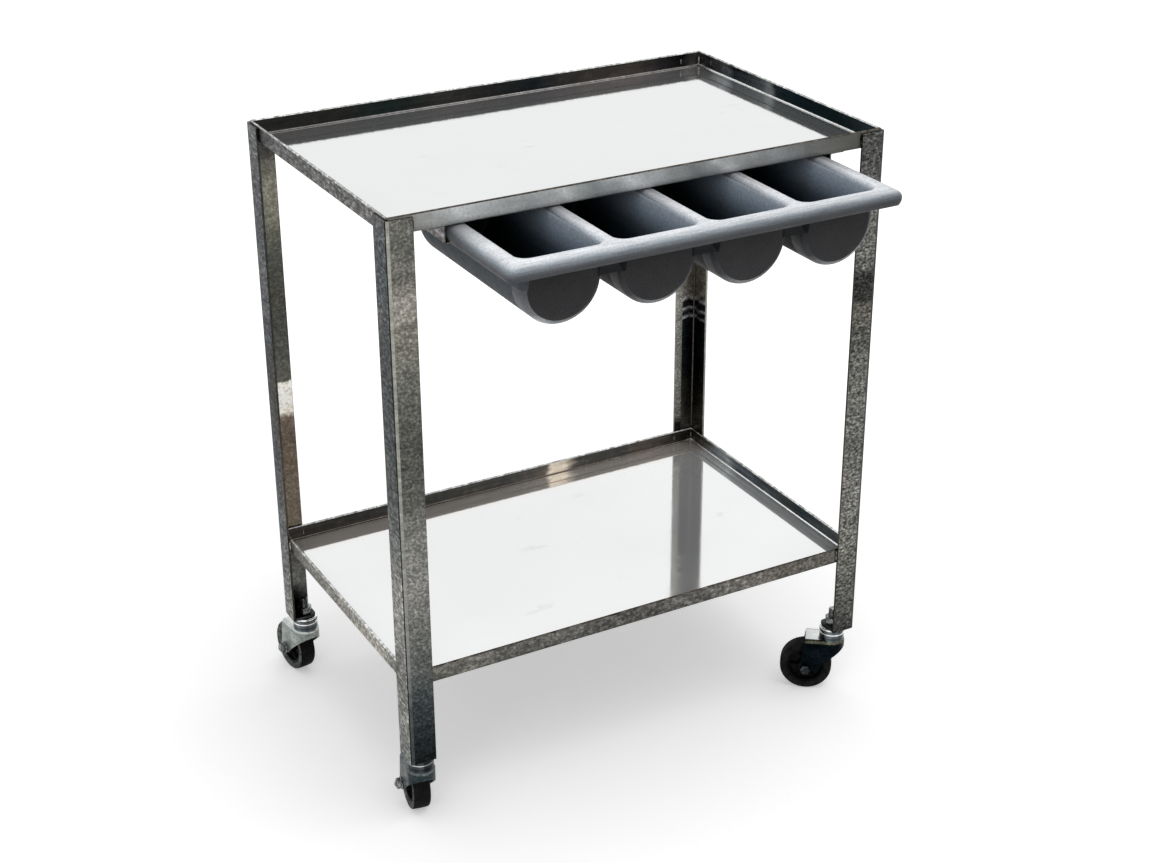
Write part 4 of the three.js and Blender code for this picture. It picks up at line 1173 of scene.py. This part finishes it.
def foot_plate_surface(side):
    """A plate with one rounded free corner, its outline drawn in a little at its two faces."""
    near, far = AXIS_INSET - LEG_SHEET - GAP, LEG_FLANGE - AXIS_INSET
    outline, _ = rounded([(near, near), (-far, near), (-far, -far), (near, -far)], [2.2, 1, 8, 1], 8)
    inward = outline - outline / np.linalg.norm(outline, axis=1)[:, None] * 0.5
    rows = [np.column_stack([ring, np.full(len(ring), z)])
            for ring, z in ((inward, 0.02), (outline, 0.5), (outline, 3.5), (inward, 4))]
    surface = Surface().grid(np.array(rows), close_columns=True).cap(rows[0]).cap(rows[-1])
    return surface.moved(lambda p: p * (*side, 1))


def ball_surface():
    """Ten balls in a ring, each a small grid of latitude and longitude, on a square wire cage."""
    surface = turned([(11.8, -4.4), (13.2, -4.4), (13.2, -5.8), (11.8, -5.8)], 0.3, 3, 40)
    latitude = np.linspace(0, np.pi, 9)[:, None]
    ball = polar(np.sin(latitude), circle(14), np.cos(latitude)) * 2.4
    for turn in circle(10):
        surface.grid(ball + (12.5 * math.cos(turn), 12.5 * math.sin(turn), -5.15), close_columns=True)
    return surface


def stem_surface():
    """A threaded rod that stands on a plain neck and a turned head inside the race."""
    head = turned([(0, -10.8), (10, -10.8), (10, -14.8), (0, -14.8)], [0, 1.4, 1.8, 0], 5, 40, close=False)
    neck = lathe([(0, -10.8), (6, -10.8), (6, -8), (0, -8)], 32, close=False)
    return threaded_rod(radius=6, pitch=1.75, low=-8.4, high=28).join(head).join(neck)


def make_castor(name, corner):
    """The stem, its nut, the plate and the race stay with the leg. The fork swings, the wheel spins."""
    swivel, wheel = f"swivel_{name}", f"wheel_{name}"
    fixed, swings, axle = to_corner(corner, False), to_corner(corner, True), to_axle(corner["nut"])
    # The left wheels' sidewalls are light as painted light, the right wheels' dark as painted shade.
    sidewall = sidewall_lit if corner["side"][X] < 0 else sidewall_shaded
    # The rear left and front right heads take the stronger painted highlights.
    rings = head_strong_highlights if name in ("rear_left", "front_right") else head_steel

    def put(piece, node, surface, finishes, body, slot, **making):
        surface.moved(fixed if body == "frame" else swings)
        replaced = [f"{node}_{name}"] if node else ()
        make_piece(f"{piece}_{name}", surface, finishes, body, slot, replaced, **making)

    put("corner_plate", "foot_plate", foot_plate_surface(corner["side"]), [leg_bend], "frame", "leg_steel")
    put("threaded_stem", "castor_stem", stem_surface(), [bolt_steel], "frame", "fastener_steel")
    put("hex_nut", "stem_nut", nut_surface(flat=9.5, height=10, bore=6.25, lift=4.3), [bolt_steel], "frame",
        "fastener_steel")
    put("upper_race", "race_cap", cap_surface(), [rings], "frame", "zinc_steel")
    put("race_balls", "ball_ring", ball_surface(), [bolt_steel], "frame", "fastener_steel")
    put("pressed_fork", "castor_fork", fork_sheet(), FORK_FINISHES[name], swivel, "zinc_steel", crease=60,
        sheet={"wall": FORK_SHEET, "offset": 0, "under": 0}, edge=0.4)
    put("fork_crown", None, crown_surface(), [rings], swivel, "zinc_steel")

    end, seat = FORK_HALF - FORK_SHEET / 2 - GAP, FORK_HALF + FORK_SHEET / 2 + GAP
    bush = turned([(4.3, -end), (6.2, -end), (6.2, end), (4.3, end)], 0.4, 3, 32)
    bolt = threaded_rod(radius=4, pitch=1.25, low=0, high=seat + 1.6 + 6 + 1.5)
    bolt.join(lathe([(0, -seat - 3), (4, -seat - 3), (4, 0), (0, 0)], 32, close=False))
    bolt.join(nut_surface(flat=6.5, height=5.3, bore=0, lift=-seat - 5.3))
    flange = [(4.2, seat), (8.5, seat), (8.5, seat + 0.9), (6.3, seat + 1.6), (4.2, seat + 1.6)]
    lock = nut_surface(flat=6.5, height=6, bore=4.2, lift=seat + 0.8)
    lock.join(turned(flange, [0, 0.3, 0.4, 0.3, 0], 4, 48))
    # The front right axle screw is dark as painted shade.
    for piece, node, surface, steel in (
        ("axle_sleeve", "axle_bush", bush, bolt_steel),
        ("axle_screw", "axle_bolt", bolt, shaded_bolt if name == "front_right" else bolt_steel),
        ("flange_nut", "axle_nut", lock, bolt_steel),
    ):
        put(piece, node, surface.moved(axle), [steel], swivel, "fastener_steel")
    put("rubber_tyre", "tyre", tyre_surface().moved(axle), [sidewall, tread_rubber], wheel, "tyre_rubber")
    put("ribbed_hub", "wheel_hub", hub_surface().moved(axle), [hub_plastic], wheel, "hub_plastic")


# Room


def make_floor():
    """A wide pale floor that glows a little, more so far away, where the camera or a mirror sees it."""
    span = 30.0
    mesh = bpy.data.meshes.new("studio_floor")
    corners = [(-span, -span, 0), (span, -span, 0), (span, span, 0), (-span, span, 0)]
    mesh.from_pydata(corners, [], [(0, 1, 2, 3)])
    made = Finish("studio_floor_paint", Specular_IOR_Level=0, Emission_Color=(1, 1, 1, 1))
    away = made.node("VectorMath", {0: made.place}, "Value", operation="LENGTH")
    seen, mirrored = (
        made.times(made.node("LightPath", output=ray), made.fit(away, 0.45, 1.5, glow))
        for ray, glow in (("Is Camera Ray", (0.34, 0.62)), ("Is Glossy Ray", (0.1, 0.4)))
    )
    made.feed(made.shader.inputs["Emission Strength"], made.math("ADD", seen, mirrored))
    mesh.materials.append(made.done(shade(240, 240, 240), 0.9))
    placed("studio_floor", mesh)


def make_sky():
    """A white sky, half as strong for light as it is for the camera and for mirror images."""
    world = bpy.data.worlds.new("studio_sky")
    world.use_nodes = True
    bpy.context.scene.world = world
    tree = world.node_tree
    rays = tree.nodes.new("ShaderNodeLightPath").outputs
    seen = rays["Is Camera Ray"]
    for ray in ("Is Glossy Ray", "Is Transmission Ray"):
        either = tree.nodes.new("ShaderNodeMath")
        either.operation = "MAXIMUM"
        tree.links.new(seen, either.inputs[0])
        tree.links.new(rays[ray], either.inputs[1])
        seen = either.outputs[0]
    level = tree.nodes.new("ShaderNodeMapRange")
    level.inputs["To Min"].default_value = 0.5
    tree.links.new(seen, level.inputs["Value"])
    sky = tree.nodes["Background"].inputs
    tree.links.new(level.outputs[0], sky["Strength"])
    sky["Color"].default_value = (1, 1, 1, 1)


def make_lamps():
    """A soft lamp overhead and a weaker one at the front, both turned to the trolley's middle."""
    for name, place, size, power in (
        ("overhead_lamp", (0.3, -0.6, 3.4), 3.0, 55),
        ("front_lamp", (-2.2, -2.6, 2.2), 2.0, 22),
    ):
        lamp = bpy.data.lights.new(name, "AREA")
        lamp.size, lamp.energy = size, power
        holder = placed(name, lamp)
        holder.location = place
        holder.visible_glossy = False
        holder.rotation_euler = (Vector((0, 0, 0.45)) - Vector(place)).to_track_quat("-Z", "Y").to_euler()


def make_camera():
    """The camera as fitted to the photograph's straight edges."""
    azimuth, elevation, roll = math.radians(-28.68), math.radians(25.79), math.radians(-0.35)
    target = np.array([39.94, 44.72, 275.32 + LEG_FOOT]) * MM + middle
    distance, image_width, focal_pixels = 2.82036, 1150, 1981.11
    back = np.array([math.sin(azimuth) * math.cos(elevation), -math.cos(azimuth) * math.cos(elevation),
                     math.sin(elevation)])
    right = np.array([math.cos(azimuth), math.sin(azimuth), 0])
    up = np.cross(back, right)
    turned_right = right * math.cos(roll) + up * math.sin(roll)
    turned_up = up * math.cos(roll) - right * math.sin(roll)
    lens = bpy.data.cameras.new("photo_camera")
    lens.sensor_fit, lens.sensor_width, lens.clip_end = "HORIZONTAL", 36, 100
    lens.lens = focal_pixels / image_width * lens.sensor_width
    camera = placed("photo_camera", lens)
    turn = Matrix(np.column_stack([turned_right, turned_up, back]).tolist()).to_4x4()
    camera.matrix_world = Matrix.Translation(target + back * distance) @ turn
    bpy.context.scene.camera = camera


for make in (make_camera, make_floor, make_sky, make_lamps, make_legs, make_trays, make_welds, make_rivets,
             make_runners, make_bin):
    make()
for corner_name, corner_facts in CORNERS.items():
    make_castor(corner_name, corner_facts)

bpy.context.scene.view_settings.view_transform = "Standard"
